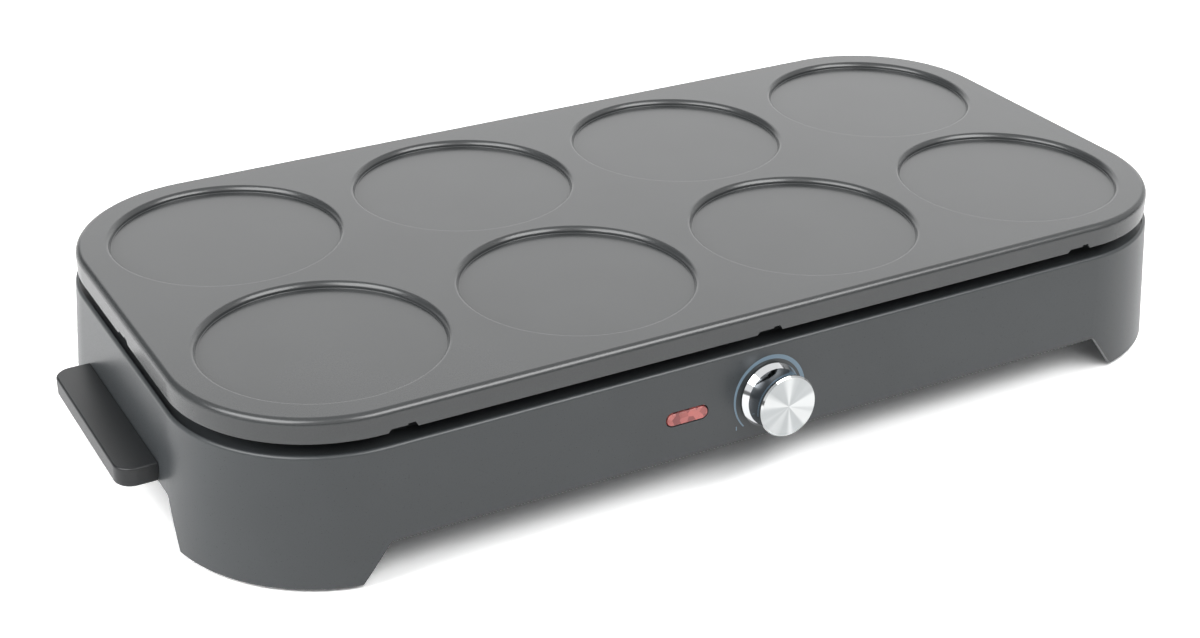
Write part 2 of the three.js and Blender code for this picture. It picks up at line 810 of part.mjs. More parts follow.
function bottomCover() {
  const extra = -housingWall - coverEdgeGap;
  let sheet = solidOf(leaningBody(extra, coverLow, coverTop));
  for (const sideX of signs) {
    for (const sideY of signs) {
      const [x, y] = columnCentre(sideX, sideY);
      const wallX = sideX * (plateLength / 2 + wallOffset(coverTop));
      const reachX = wallX - sideX * (housingWall + overrun);
      const bayX = [Math.min(wallX, reachX), Math.max(wallX, reachX)];
      const bayHalf = bigHeadRadius + coverEdgeGap;
      const bayY = [sideY * handleFixY - bayHalf, sideY * handleFixY + bayHalf];
      const span = [coverLow - overrun, coverTop + overrun];
      sheet = cut(sheet, rodZ(columnRadius + coverEdgeGap, x, y, span), block(bayX, bayY, span));
      const holeY = sideY * coverBossY();
      sheet = cut(sheet, rodZ(smallScrewRadius + screwGap, sideX * coverFixX, holeY, span));
      for (let i = 0; i < ventsInRow; i += 1) {
        const ventX = sideX * ventRowX + (i - (ventsInRow - 1) / 2) * ventPitch;
        sheet = cut(sheet, ventCutter(ventX, sideY * ventRowY));
      }
    }
  }
  return sheet;
}

function footPad(sideX, sideY) {
  const [x, y] = columnCentre(sideX, sideY);
  const stemRadius = columnBoreRadius - seatGap;
  const discTop = footStand + columnRecess - seatGap;
  return join(
    rodZ(padRadius, x, y, [0, discTop], flangeFacets),
    rodZ(stemRadius, x, y, [discTop / 2, discTop + padStemLength]),
  );
}

// A span along X on the left or the right side, its lower end first
function mirroredSpan(side, from, to) {
  return side < 0 ? [-to, -from] : [from, to];
}

function handle(sideX) {
  const wallX = plateLength / 2 + wallOffset(handleTop);
  const half = handleLength / 2 - handleEdgeRound;
  const near = wallX - handleBite;
  const far = wallX + handleReach - handleEdgeRound;
  const corner = handleCorner - handleEdgeRound;
  const shape = new THREE.Shape();
  shape.moveTo(near, -half);
  shape.lineTo(far - corner, -half);
  shape.absarc(far - corner, -half + corner, corner, -quarterTurn, 0);
  shape.absarc(far - corner, half - corner, corner, 0, quarterTurn);
  shape.lineTo(near, half);
  shape.closePath();
  const slab = new THREE.ExtrudeGeometry(shape, {
    depth: handleThickness - 2 * handleEdgeRound,
    bevelThickness: handleEdgeRound,
    bevelSize: handleEdgeRound,
    bevelSegments: roundFacets,
    curveSegments: cornerFacets / 2,
  });
  slab.translate(0, 0, handleLow + handleEdgeRound);
  if (sideX < 0) slab.rotateZ(2 * quarterTurn);
  const keepOut = leaningBody(seatGap, handleLow - overrun, handleTop + overrun);
  let grip = cut(solidOf(slab), keepOut);
  const midX = plateLength / 2 + wallOffset(handleMidZ);
  const holeEnds = mirroredSpan(sideX, midX - overrun, midX + handleScrewBite + screwGap);
  for (const sideY of signs) {
    grip = cut(grip, rodX(bigScrewRadius + screwGap, holeEnds, sideY * handleFixY, handleMidZ));
  }
  return grip;
}

function handleScrew(sideX, sideY) {
  const y = sideY * handleFixY;
  const seatX = plateLength / 2 + wallOffset(handleMidZ + bigHeadRadius) - housingWall - seatGap;
  const tipX = plateLength / 2 + wallOffset(handleMidZ) + handleScrewBite;
  const headX = seatX - bigHeadHeight;
  const whole = join(
    rodX(bigHeadRadius, mirroredSpan(sideX, headX, seatX), y, handleMidZ),
    rodX(bigScrewRadius, mirroredSpan(sideX, (headX + seatX) / 2, tipX), y, handleMidZ),
  );
  const socket = mirroredSpan(sideX, headX - overrun, headX + socketDepth);
  return cut(whole, rodX(socketRadius, socket, y, handleMidZ, hexFacets));
}

const reflectorHoles = [
  [elementEndX, -elementOuterY],
  [elementEndX, -elementInnerY],
  [capillaryHoleX, turnMiddleY],
  [fuseX - fuseLength, turnMiddleY],
  [fuseX + fuseLength, turnMiddleY],
  [earthX, earthHoleY],
];

function heatReflector() {
  const rim = loft([[reflectorRimLow, -reflectorRimInset], [reflectorRimTop, -reflectorRimInset]]);
  const panOuter = loft([[reflectorFloor, -reflectorWallInset], [reflectorRimTop, -reflectorWallInset]]);
  const panInset = -reflectorWallInset - reflectorSheet;
  const panInner = loft([[reflectorFloor + reflectorSheet, panInset], [reflectorRimTop + overrun, panInset]]);
  let pan = cut(join(rim, panOuter), panInner);
  const rimSpan = [reflectorRimLow - overrun, reflectorRimTop + overrun];
  for (const [x, y] of plateFixes) pan = cut(pan, rodZ(bigScrewRadius + screwGap, x, y, rimSpan));
  const floorSpan = [reflectorFloor - overrun, reflectorFloor + overrun];
  for (const [x, y] of reflectorHoles) pan = cut(pan, rodZ(reflectorHoleRadius, x, y, floorSpan));
  return pan;
}

function plateSpacer(x, y) {
  const span = [reflectorRimTop + seatGap, bossLow - seatGap];
  const bore = [span[0] - overrun, span[1] + overrun];
  return cut(solidOf(rodZ(spacerRadius, x, y, span)), rodZ(bigScrewRadius + screwGap, x, y, bore));
}

function plateScrew(x, y) {
  const headLow = deckLow - seatGap - bigHeadHeight;
  return screwZ(x, y, headLow, bigHeadRadius, bigHeadHeight, bigScrewRadius, screwHoleTop - screwGap);
}

function coverScrew(x, y) {
  const headLow = coverLow - seatGap - smallHeadHeight;
  return screwZ(x, y, headLow, smallHeadRadius, smallHeadHeight, smallScrewRadius, coverTop + coverScrewBite);
}

function heatingElement() {
  const rising = elementEnd(-elementOuterY, true);
  const falling = elementEnd(-elementInnerY, false);
  const path = new StationPath([...rising, ...elementLoops(0), ...falling]);
  return solidOf(sweepStations(roundSection(elementRadius), path));
}

// A spade tab hanging from a pin, its blade across X
function elementTab(y) {
  const acrossX = [elementEndX - tabWidth / 2, elementEndX + tabWidth / 2];
  const acrossY = [y - tabThickness / 2, y + tabThickness / 2];
  return join(
    rodZ(tabPinRadius, elementEndX, y, [tabHighZ - tabThickness, tabPinTop], tubeFacets),
    block(acrossX, acrossY, [tabLowZ, tabHighZ]),
  );
}

// Knob pieces are turned about the spindle, outwards is -Y
const ringFront = -knobWallGap - ringHeight;
const faceFront = -knobProud;
const faceBack = faceFront + faceThickness;
const bodyFront = faceBack + seatGap;

function knobRing() {
  return solidOf(turnedY([
    [ringRadius, -knobWallGap],
    [ringRadius - ringWall, -knobWallGap],
    [ringRadius - ringWall, ringFront],
    [ringRadius - ringChamfer, ringFront],
    [ringRadius, ringFront + ringChamfer],
    [ringRadius, -knobWallGap],
  ], knobFacets));
}

function knobBody() {
  const spigot = ringRadius - ringWall - seatGap;
  const back = -knobWallGap - seatGap;
  const shoulder = ringFront - seatGap;
  const waist = (shoulder + bodyFront) / 2;
  const turned = turnedY([
    [0, back],
    [0, bodyFront],
    [bodyNeckRadius, bodyFront],
    [bodyWaistRadius, waist],
    [bodyShoulderRadius, shoulder],
    [spigot, shoulder],
    [spigot, back],
    [0, back],
  ], knobFacets);
  const hollow = rodY(knobHollowRadius, 0, [back - knobHollowDepth, back + overrun], 0);
  const socket = spindleRod(spindleRadius + runGap, spindleFlat, [-knobSocketDepth - runGap, 0]);
  return cut(solidOf(turned), hollow, socket);
}

function knobFace() {
  return solidOf(turnedY([
    [0, faceBack],
    [0, faceFront],
    [faceRadius - faceChamfer, faceFront],
    [faceRadius, faceFront + faceChamfer],
    [faceRadius, faceBack],
    [0, faceBack],
  ], knobFacets));
}

// A round rod with a flat along its upper side
function spindleRod(radius, flat, y) {
  const rod = rodY(radius, 0, y, 0);
  const position = rod.getAttribute('position');
  for (let i = 0; i < position.count; i += 1) {
    position.setZ(i, Math.min(position.getZ(i), radius - flat));
  }
  return rod;
}

function spindle() {
  const flatEnd = [-knobSocketDepth, -bushReach];
  const roundEnd = [-bushReach - seatGap, spindleInside];
  return join(spindleRod(spindleRadius, spindleFlat, flatEnd), rodY(spindleRadius, 0, roundEnd, 0));
}

const wallInside = housingWall;
const mountPlateFront = wallInside + seatGap;
const mountPlateBack = mountPlateFront + mountPlateThickness;
const thermostatFront = mountPlateBack + seatGap;
const thermostatBack = thermostatFront + thermostatDepth;

function thermostatPlate() {
  const halfX = mountPlateWidth / 2;
  const halfZ = mountPlateHeight / 2;
  const plate = block([-halfX, halfX], [mountPlateFront, mountPlateBack], [-halfZ, halfZ]);
  const bush = rodY(bushRadius, 0, [-bushReach, mountPlateBack - seatGap], 0);
  return cut(join(plate, bush), rodY(spindleRadius + runGap, 0, [-overrun, mountPlateBack + overrun], 0));
}

function thermostatNut() {
  const radius = nutFlats / 2 / Math.cos(Math.PI / hexFacets);
  const span = [-seatGap - nutThickness, -seatGap];
  const bore = rodY(bushRadius + screwGap, 0, [-overrun, overrun], 0);
  return cut(solidOf(rodY(radius, 0, span, 0, hexFacets)), bore);
}

function thermostatBody() {
  const halfX = thermostatWidth / 2;
  const halfZ = thermostatTall / 2;
  const whole = block([-halfX, halfX], [thermostatFront, thermostatBack], [-halfZ, halfZ]);
  const pocket = rodY(spindleRadius + 2 * runGap, 0, [0, spindleInside + runGap], 0);
  return cut(solidOf(whole), pocket);
}

function thermostatTab(x) {
  const front = thermostatBack + seatGap;
  const acrossX = [x - tabWidth / 2, x + tabWidth / 2];
  return solidOf(block(acrossX, [front, front + tabLength], [-tabThickness / 2, tabThickness / 2]));
}

const bulbZ = plateUnder - seatGap - bulbRadius;
const fuseZ = plateUnder - seatGap - fuseRadius;

// A strap over a round piece under the plate: two feet and an arch
function strap(x, y, radius) {
  const top = plateUnder - seatGap;
  const innerLow = top - 2 * radius - seatGap;
  const innerHalf = radius + seatGap;
  const outerHalf = innerHalf + clipSheet;
  const across = [y - outerHalf - clipFoot, y + outerHalf + clipFoot];
  const along = [x - clipWidth / 2, x + clipWidth / 2];
  const feet = block(along, across, [top - clipSheet, top]);
  const arch = block(along, [y - outerHalf, y + outerHalf], [innerLow - clipSheet, top]);
  const tunnelX = [along[0] - overrun, along[1] + overrun];
  return cut(join(feet, arch), block(tunnelX, [y - innerHalf, y + innerHalf], [innerLow, top + overrun]));
}

// A smooth tube through points
function tube(points, radius) {
  const path = new THREE.CatmullRomCurve3(points, false, 'centripetal');
  return solidOf(sweep(roundSection(radius, leadFacets), path, leadSteps));
}

function inBody(matrix, x, y, z) {
  return new THREE.Vector3(x, y, z).applyMatrix4(matrix);
}

const thermostatMiddle = (thermostatFront + thermostatBack) / 2;
const capillarySeat = thermostatTall / 2 + seatGap;
const capillaryTop = inBody(knobFrame, -thermostatWidth / 4, thermostatMiddle, capillarySeat);

function capillaryTube() {
  const start = new THREE.Vector3(bulbX + seatGap, turnMiddleY, bulbZ);
  const overHole = new THREE.Vector3(capillaryHoleX, turnMiddleY, (bulbZ + reflectorFloor) / 2);
  const underZ = reflectorFloor - 2 * capillaryRadius - seatGap;
  const underHole = new THREE.Vector3(capillaryHoleX, turnMiddleY, underZ);
  const rise = capillaryRiseShare * (deckLow - capillaryTop.z);
  const nearEnd = capillaryTop.clone().add(new THREE.Vector3(0, 0, rise));
  const panSideY = reflectorWallInset - plateWidth / 2;
  const bodyBackY = inBody(knobFrame, 0, thermostatBack, 0).y;
  const bendX = (capillaryHoleX + nearEnd.x) / 2;
  const lowBend = new THREE.Vector3(bendX, (panSideY + bodyBackY) / 2, underHole.z);
  const highBend = lowBend.clone().setZ(nearEnd.z);
  const first = start.clone().add(new THREE.Vector3(leadStraight, 0, 0));
  const points = [start, first, overHole, underHole, lowBend, highBend, nearEnd, capillaryTop];
  return tube(points, capillaryRadius);
}

function indicatorLens() {
  const windowDepth = [-lensProud, wallInside + 2 * seatGap];
  const window = prismY(stadiumShape(lensWidth, lensTall), windowDepth, lensFacets);
  const flangeShape = stadiumShape(lensWidth + 2 * lensFlange, lensTall + 2 * lensFlange);
  const front = wallInside + seatGap;
  return join(window, prismY(flangeShape, [front, front + lensFlangeThickness], lensFacets));
}

const holderFront = wallInside + seatGap + lensFlangeThickness + seatGap;

function lampHolder() {
  const halfX = lensWidth / 2;
  const halfZ = lensTall / 2;
  const span = [holderFront, holderFront + holderDepth];
  const bore = [span[0] - overrun, span[1] + overrun];
  const outer = block([-halfX, halfX], span, [-halfZ - holderWall, halfZ + holderWall]);
  const inX = [-halfX + holderWall, halfX - holderWall];
  const inZ = [-neonRadius - seatGap, neonRadius + seatGap];
  return cut(solidOf(outer), block(inX, bore, inZ));
}

function neonLamp() {
  const span = [-neonLength / 2, neonLength / 2];
  return solidOf(rodX(neonRadius, span, holderFront + holderDepth / 2, 0, tubeFacets));
}

function cordGland() {
  const outside = rodY(glandFlangeRadius, 0, [-seatGap - glandFlangeThickness, -seatGap], 0, flangeFacets);
  const barrel = rodY(glandRadius, 0, [-seatGap - glandFlangeThickness / 2, glandReach], 0);
  const bore = rodY(glandBoreRadius, 0, [-overrun, glandReach + overrun], 0);
  return cut(join(outside, barrel), bore);
}

const blockLow = coverTop + seatGap;

function wayX(way) {
  return blockX + (way - (blockWays - 1) / 2) * blockPitch;
}

function terminalBlock() {
  const acrossX = [blockX - blockWidth / 2, blockX + blockWidth / 2];
  const acrossY = [blockY - blockDepth / 2, blockY + blockDepth / 2];
  let whole = solidOf(block(acrossX, acrossY, [blockLow, blockLow + blockTall]));
  const z = blockLow + blockTall / 2;
  const holeY = [acrossY[0] - overrun, acrossY[0] + blockHoleDepth];
  for (let way = 0; way < blockWays; way += 1) {
    whole = cut(whole, rodY(blockHoleRadius, wayX(way), holeY, z));
  }
  return whole;
}

const earthTagTop = bossLow - seatGap;

function earthTag() {
  const low = earthTagTop - earthTagSheet;
  const ring = rodZ(earthTagRadius, earthX, 0, [low, earthTagTop]);
  const acrossX = [earthX - tabWidth / 2, earthX + tabWidth / 2];
  const blade = block(acrossX, [0, earthTagRadius + tabLength], [low, earthTagTop]);
  const hole = rodZ(smallScrewRadius + screwGap, earthX, 0, [low - overrun, low + overrun]);
  return cut(join(ring, blade), hole);
}

function earthScrew() {
  const headLow = earthTagTop - earthTagSheet - seatGap - smallHeadHeight;
  const tip = screwHoleTop - screwGap;
  return screwZ(earthX, 0, headLow, smallHeadRadius, smallHeadHeight, smallScrewRadius, tip);
}

const down = new THREE.Vector3(0, 0, -1);
const ahead = new THREE.Vector3(0, -1, 0);
const back = new THREE.Vector3(0, 1, 0);
const left = new THREE.Vector3(-1, 0, 0);
const right = new THREE.Vector3(1, 0, 0);
const knobBack = back.clone().transformDirection(knobFrame);
const lensBack = back.clone().transformDirection(lensFrame);

// A lead's end: the place itself and a place further on, which the lead leaves straight
function leadEnd(point, way, run = leadStraight) {
  return [point, point.clone().addScaledVector(way, run)];
}

// A lead's end under the plate goes on down through its hole in the reflector
function leadEndThroughReflector(point, way, x, y) {
  const near = leadEnd(point, way, leadRise);
  const overHole = new THREE.Vector3(x, y, reflectorFloor + leadRise);
  const underHole = new THREE.Vector3(x, y, reflectorFloor - leadRise);
  return [...near, overHole, underHole];
}

// A lead from one end to another, laid at its level above the cover in between
function lead(from, to, level, radius = leadRadius) {
  const lay = coverTop + (leadLowShare + level * leadLevelShare) * wiringSpace;
  const start = from[from.length - 1];
  const finish = to[to.length - 1];
  const laid = leadShares.map((share) => start.clone().lerp(finish, share).setZ(lay));
  return tube([...from, ...laid, ...[...to].reverse()], radius);
}

function blockEnd(way) {
  const y = blockY - blockDepth / 2 + blockHoleDepth - seatGap;
  const point = new THREE.Vector3(wayX(way), y, blockLow + blockTall / 2);
  return leadEnd(point, ahead, blockHoleDepth + leadStraight);
}

function thermostatEnd(side) {
  const y = thermostatBack + tabLength + 2 * seatGap;
  return leadEnd(inBody(knobFrame, side * thermostatTabPitch / 2, y, 0), knobBack);
}

function elementTabEnd(y) {
  return leadEnd(new THREE.Vector3(elementEndX, y, tabLowZ - seatGap), down, leadRise);
}

// A thin lamp lead meets a tab's blade from its side
function bladeSideEnd(y) {
  const x = elementEndX - tabWidth / 2 - seatGap;
  return leadEnd(new THREE.Vector3(x, y, tabLowZ + tabLength / 4), left);
}

function fuseEnd(side) {
  const point = new THREE.Vector3(fuseX + side * (fuseLength / 2 + seatGap), turnMiddleY, fuseZ);
  return leadEndThroughReflector(point, side > 0 ? right : left, fuseX + side * fuseLength, turnMiddleY);
}

function earthEnd() {
  const point = new THREE.Vector3(earthX, earthTagRadius + tabLength + seatGap, earthTagTop - leadRadius);
  return leadEndThroughReflector(point, back, earthX, earthHoleY);
}

function lampEnd(side) {
  const y = holderFront + holderDepth / 2 + neonRadius + seatGap;
  return leadEnd(inBody(lensFrame, side * lampLeadPitch / 2, y, 0), lensBack, holderDepth);
}

place('griddle_plate', griddlePlate(), coatedPlate);
place('heating_element', heatingElement(), elementSteel);
place('element_tab_outer', elementTab(-elementOuterY), steel);
place('element_tab_inner', elementTab(-elementInnerY), steel);
place('heat_reflector', heatReflector(), steel);
plateFixes.forEach(([x, y], i) => {
  place(`plate_spacer_${i + 1}`, plateSpacer(x, y), steel);
  place(`plate_screw_${i + 1}`, plateScrew(x, y), steel);
});

place('housing', housing(), darkPlastic);
place('bottom_cover', bottomCover(), coatedSteel);
let corner = 0;
for (const sideX of signs) {
  const sideName = sideX < 0 ? 'left' : 'right';
  place(`handle_${sideName}`, handle(sideX), darkPlastic);
  for (const sideY of signs) {
    corner += 1;
    place(`foot_pad_${corner}`, footPad(sideX, sideY), rubber);
    place(`cover_screw_${corner}`, coverScrew(sideX * coverFixX, sideY * coverBossY()), steel);
    place(`handle_screw_${corner}`, handleScrew(sideX, sideY), steel);
  }
}

const knobGroup = groupAt(knobFrame);
place('knob_ring', knobRing(), chrome, knobGroup);
place('knob_body', knobBody(), knobPlastic, knobGroup);
place('knob_face', knobFace(), spunAluminium, knobGroup);
place('spindle', spindle(), brass, knobGroup);
place('thermostat_plate', thermostatPlate(), steel, knobGroup);
place('thermostat_nut', thermostatNut(), steel, knobGroup);
place('thermostat_body', thermostatBody(), bakelite, knobGroup);
place('thermostat_tab_live', thermostatTab(-thermostatTabPitch / 2), brass, knobGroup);
place('thermostat_tab_switched', thermostatTab(thermostatTabPitch / 2), brass, knobGroup);
place('sensor_bulb', solidOf(rodX(bulbRadius, [bulbX - bulbLength, bulbX], turnMiddleY, bulbZ)), copper);
place('capillary_tube', capillaryTube(), copper);
place('bulb_clip', strap(bulbX - bulbLength / 2, turnMiddleY, bulbRadius), steel);
const fuseSpan = [fuseX - fuseLength / 2, fuseX + fuseLength / 2];
place('thermal_fuse', solidOf(rodX(fuseRadius, fuseSpan, turnMiddleY, fuseZ)), fuseSleeve);
place('fuse_clip', strap(fuseX, turnMiddleY, fuseRadius), steel);

const lensGroup = groupAt(lensFrame);
place('indicator_lens', indicatorLens(), redLens, lensGroup);
place('lamp_holder', lampHolder(), paleNylon, lensGroup);
place('neon_lamp', neonLamp(), lampGlass, lensGroup);
place('cord_gland', cordGland(), darkPlastic, groupAt(glandFrame));
place('terminal_block', terminalBlock(), paleNylon);
place('earth_tag', earthTag(), brass);
place('earth_screw', earthScrew(), brass);
place('lead_live', lead(blockEnd(1), fuseEnd(-1), 1), brownSleeve);
place('lead_fused', lead(fuseEnd(1), thermostatEnd(1), 1), brownSleeve);
place('lead_switched', lead(thermostatEnd(-1), elementTabEnd(-elementOuterY), 0), brownSleeve);
place('lead_neutral', lead(blockEnd(0), elementTabEnd(-elementInnerY), 0), blueSleeve);
place('lead_earth', lead(blockEnd(2), earthEnd(), 2), greenSleeve);
place('lamp_lead_live', lead(lampEnd(1), bladeSideEnd(-elementOuterY), 2, lampLeadRadius), brownSleeve);
place('lamp_lead_neutral', lead(lampEnd(-1), bladeSideEnd(-elementInnerY), 3, lampLeadRadius), blueSleeve);

export default model;
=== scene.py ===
# %% [markdown]
# # An electric pancake maker with eight wells
# The real object is a coated cast plate that rests on a moulded dark housing. It has a slab handle at each
# short end, and a knob and an indicator lamp on the long front side.
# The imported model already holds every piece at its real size. This script gives the pieces that show a
# finer surface, gives every piece its finish, and sets up the light and the camera.

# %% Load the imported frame
import json
from math import atan, atan2, copysign, cos, degrees, pi, radians, sin, sqrt, tan

import bpy
from mathutils import Matrix, Vector


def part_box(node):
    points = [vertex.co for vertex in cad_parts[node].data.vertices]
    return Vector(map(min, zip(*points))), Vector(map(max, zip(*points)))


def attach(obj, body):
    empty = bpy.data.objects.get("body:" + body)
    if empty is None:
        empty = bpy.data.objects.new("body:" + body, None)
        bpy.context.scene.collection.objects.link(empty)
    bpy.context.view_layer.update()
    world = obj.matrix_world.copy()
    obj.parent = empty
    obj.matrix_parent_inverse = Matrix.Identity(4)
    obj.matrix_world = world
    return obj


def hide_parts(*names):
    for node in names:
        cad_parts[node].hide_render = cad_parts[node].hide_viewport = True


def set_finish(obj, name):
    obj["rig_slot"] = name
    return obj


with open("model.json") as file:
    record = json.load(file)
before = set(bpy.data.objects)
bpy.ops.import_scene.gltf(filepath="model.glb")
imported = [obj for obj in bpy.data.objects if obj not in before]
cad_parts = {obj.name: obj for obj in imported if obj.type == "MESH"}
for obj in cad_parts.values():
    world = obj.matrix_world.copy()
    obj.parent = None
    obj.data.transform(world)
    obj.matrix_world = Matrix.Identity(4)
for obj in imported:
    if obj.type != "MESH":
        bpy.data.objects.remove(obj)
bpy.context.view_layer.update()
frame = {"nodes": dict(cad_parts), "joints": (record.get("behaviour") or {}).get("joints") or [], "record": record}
nodes = frame["nodes"]
slots = {row["node"]: row["material_slot"] for row in frame["record"]["subparts"]}
print(len(nodes), "nodes and", len(set(slots.values())), "finishes")

# %% [markdown]
# ## Main sizes
# Everything is in metres, in the frame of the imported model. The overall sizes are read from the imported
# pieces, so that the fine surfaces stay where the solids are. Only what a box can't say, such as a round
# or a wall, has its own value here.

# %% Main sizes
plate_low, plate_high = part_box("griddle_plate")
housing_low, housing_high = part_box("housing")
middle_y = (plate_low.y + plate_high.y) / 2
plate_half_x = plate_high.x
plate_half_y = plate_high.y - middle_y
plate_corner = 0.0665
hub_x = plate_half_x - plate_corner
hub_y = plate_half_y - plate_corner
housing_reveal = 0.0013
housing_spread = 0.0047
housing_foot = housing_reveal + housing_spread
housing_wall = 0.0026
housing_height = housing_high.z - housing_low.z
draft = atan(housing_spread / housing_height)
seat_gap = 0.0003
overrun = 0.008
quarter_turn = pi / 2
plate_size = [round(2000 * half, 1) for half in (plate_half_x, plate_half_y)]
print("plate", plate_size, "mm, draft", round(degrees(draft), 2), "degrees")

# %% [markdown]
# ## Points of an outline
# A rounded rectangle, a turned piece and a swept rib are all made of rings of points, one behind another.
# One helper gives the points of an arc, and another the plate's outline, moved in or out by an offset.
# The housing leans outwards by the draft that lets a moulding leave its tool, so two more helpers say
# where its wall stands at a height, and give a place that is square to it.


# %% Arcs and the plate's outline
def arc(centre, radius, start, end, steps):
    """Points of an arc; its angles are in quarter turns."""
    angles = [quarter_turn * (start + (end - start) * i / steps) for i in range(steps + 1)]
    return [(centre[0] + radius * cos(a), centre[1] + radius * sin(a)) for a in angles]


def outline(offset, z, steps=28):
    """The plate's rounded outline, moved outwards by an offset, at one height."""
    points = []
    for corner, (side_x, side_y) in enumerate(((1, 1), (-1, 1), (-1, -1), (1, -1))):
        hub = (side_x * hub_x, middle_y + side_y * hub_y)
        points += arc(hub, plate_corner + offset, corner, corner + 1, steps)
    return [Vector((x, y, z)) for x, y in points]


def wall_offset(z):
    """How far the housing's outer wall stands outside the plate's outline at a height."""
    return housing_reveal + tan(draft) * (housing_high.z - z)


def wall_place(x, z, side=-1):
    """A place on the outer wall: local Z points straight out of the leaning wall, and local Y up along it."""
    origin = Vector((x, middle_y + side * (plate_half_y + wall_offset(z)), z))
    out = Vector((0, side * cos(draft), sin(draft)))
    along = Vector((-side, 0, 0))
    axes = Matrix((along, out.cross(along), out)).transposed()
    return Matrix.Translation(origin) @ axes.to_4x4()


# %% [markdown]
# ## Meshes from rings
# Rings with the same number of points are joined by quads. The two ends are closed with one flat face
# each, or the last ring joins the first again, as in a turned ring. Every mesh made this way is closed.


# %% Skin, loft, turned pieces and prisms
def skin(rings, loop=False):
    """A closed mesh over rings of points; with loop, the last ring joins the first."""
    count = len(rings[0])
    faces = []
    for i in range(len(rings) if loop else len(rings) - 1):
        near = i * count
        far = (i + 1) % len(rings) * count
        for j in range(count):
            k = (j + 1) % count
            faces.append((near + j, near + k, far + k, far + j))
    if not loop:
        faces.append(tuple(reversed(range(count))))
        faces.append(tuple(range((len(rings) - 1) * count, len(rings) * count)))
    mesh = bpy.data.meshes.new("skin")
    mesh.from_pydata([point for ring in rings for point in ring], [], faces)
    return turned_outwards(mesh)


def turned_outwards(mesh):
    """Turns the faces of a closed mesh so that they all face out."""
    mesh.update()
    volume = 0.0
    for face in mesh.polygons:
        first = mesh.vertices[face.vertices[0]].co
        for i in range(1, len(face.vertices) - 1):
            second = mesh.vertices[face.vertices[i]].co
            third = mesh.vertices[face.vertices[i + 1]].co
            volume += first.dot(second.cross(third))
    if volume < 0:
        mesh.flip_normals()
    return mesh


def loft(levels):
    """A solid through levels of (offset from the plate's outline, height)."""
    return skin([outline(offset, z) for offset, z in levels])


def turned(profile, place=Matrix(), segments=96, loop=False):
    """A turned solid from (radius, height) points, its axis along the place's local Z."""
    angles = [4 * quarter_turn * i / segments for i in range(segments)]
    circle = [(cos(angle), sin(angle)) for angle in angles]
    rings = [[place @ Vector((radius * c, radius * s, height)) for c, s in circle]
             for radius, height in profile]
    return skin(rings, loop)


def prism(points, low, high, place=Matrix()):
    """A straight solid from a flat outline, along the place's local Z."""
    return skin([[place @ Vector((x, y, height)) for x, y in points] for height in (low, high)])


def upright(x, y):
    """A place on the floor whose axis stands up."""
    return Matrix.Translation((x, y, 0))


# %% [markdown]
# ## Cutting and joining
# Holes, arches and wells are cut the way a designer cuts them, with boolean modifiers. The exact solver
# leaves clean edges. All modifiers of a piece are evaluated at once, and the result becomes its mesh.


# %% Booleans
def placed(name, data, place=None):
    """A new object in the scene, moved to its place if it has one."""
    result = bpy.data.objects.new(name, data)
    bpy.context.scene.collection.objects.link(result)
    if place:
        result.matrix_world = place
    return result


def combined(mesh, tools, operation="DIFFERENCE"):
    """The mesh with each tool cut away from it, joined to it, or kept where both are."""
    body = placed("body", mesh)
    helpers = [body]
    for tool in tools:
        helpers.append(placed("tool", tool))
        modifier = body.modifiers.new("combine", "BOOLEAN")
        modifier.operation = operation
        modifier.solver = "EXACT"
        modifier.object = helpers[-1]
    evaluated = body.evaluated_get(bpy.context.evaluated_depsgraph_get())
    result = bpy.data.meshes.new_from_object(evaluated)
    for helper in helpers:
        bpy.data.objects.remove(helper)
    return result


# %% [markdown]
# ## Making a piece
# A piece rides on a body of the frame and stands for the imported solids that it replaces. Rounds look
# smooth and true edges stay sharp: faces are shaded smooth, edges over a set angle are marked sharp, and
# weighted normals keep the large flat faces flat.


# %% Pieces
sharp_angle = radians(32)
made = []


def piece(name, mesh, replaced, body="base", place=None):
    """A finished piece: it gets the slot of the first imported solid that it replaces."""
    mesh.name = name
    for face in mesh.polygons:
        face.use_smooth = True
    mesh.set_sharp_from_angle(angle=sharp_angle)
    result = placed(name, mesh, place)
    weighted = result.modifiers.new("flat faces", "WEIGHTED_NORMAL")
    weighted.keep_sharp = True
    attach(result, body)
    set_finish(result, slots[replaced[0]])
    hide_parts(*replaced)
    made.append(result)
    print(name, len(mesh.vertices), "points")


# %% [markdown]
# ## Griddle plate
# The plate is cast in aluminium and coated. Its top edge has a soft round, and a skirt hangs down round
# it. Each well has a round lip, a wall that grows steeper in three curves, and a small foot: the lip and
# wall catch the bright arcs that make a well readable. The wells are cut with turned tools of many
# facets, because their rims run right through these highlights, where a coarse circle would show.

# %% Griddle plate: sizes
plate_thickness = 0.006
plate_edge = 0.003
skirt_wall = 0.0035
skirt_edge = 0.0005
well_radius = 0.0543
well_pitch = (0.12, 0.1156)
well_depth = 0.0029
# Each curve of a well's wall from the top down: its radius, and the slope in degrees where it ends.
well_curves = ((0.002, 45), (0.005, 58), (0.0012, 82))
curve_steps = 8
well_foot = 0.0004
plate_top = plate_high.z
rim_low = plate_low.z
plate_under = plate_top - plate_thickness
well_centres = [((column - 1.5) * well_pitch[0], middle_y + (row - 0.5) * well_pitch[1])
                for column in range(4) for row in range(2)]
print("wells", [(round(x * 1000), round(y * 1000)) for x, y in well_centres])

# %% [markdown]
# The notches in the skirt's lower edge let steam out and give a hold for lifting the plate. There are
# three on each long side and one on each short side, each with a small step at one end.

# %% Griddle plate: wells and notches
notch_pitch = 0.1718
notch_shift = -0.0015
notch_half = 0.0067
notch_flat = 0.0052
notch_bump = 0.002
notch_height = 0.0018
notch_step = 0.0007


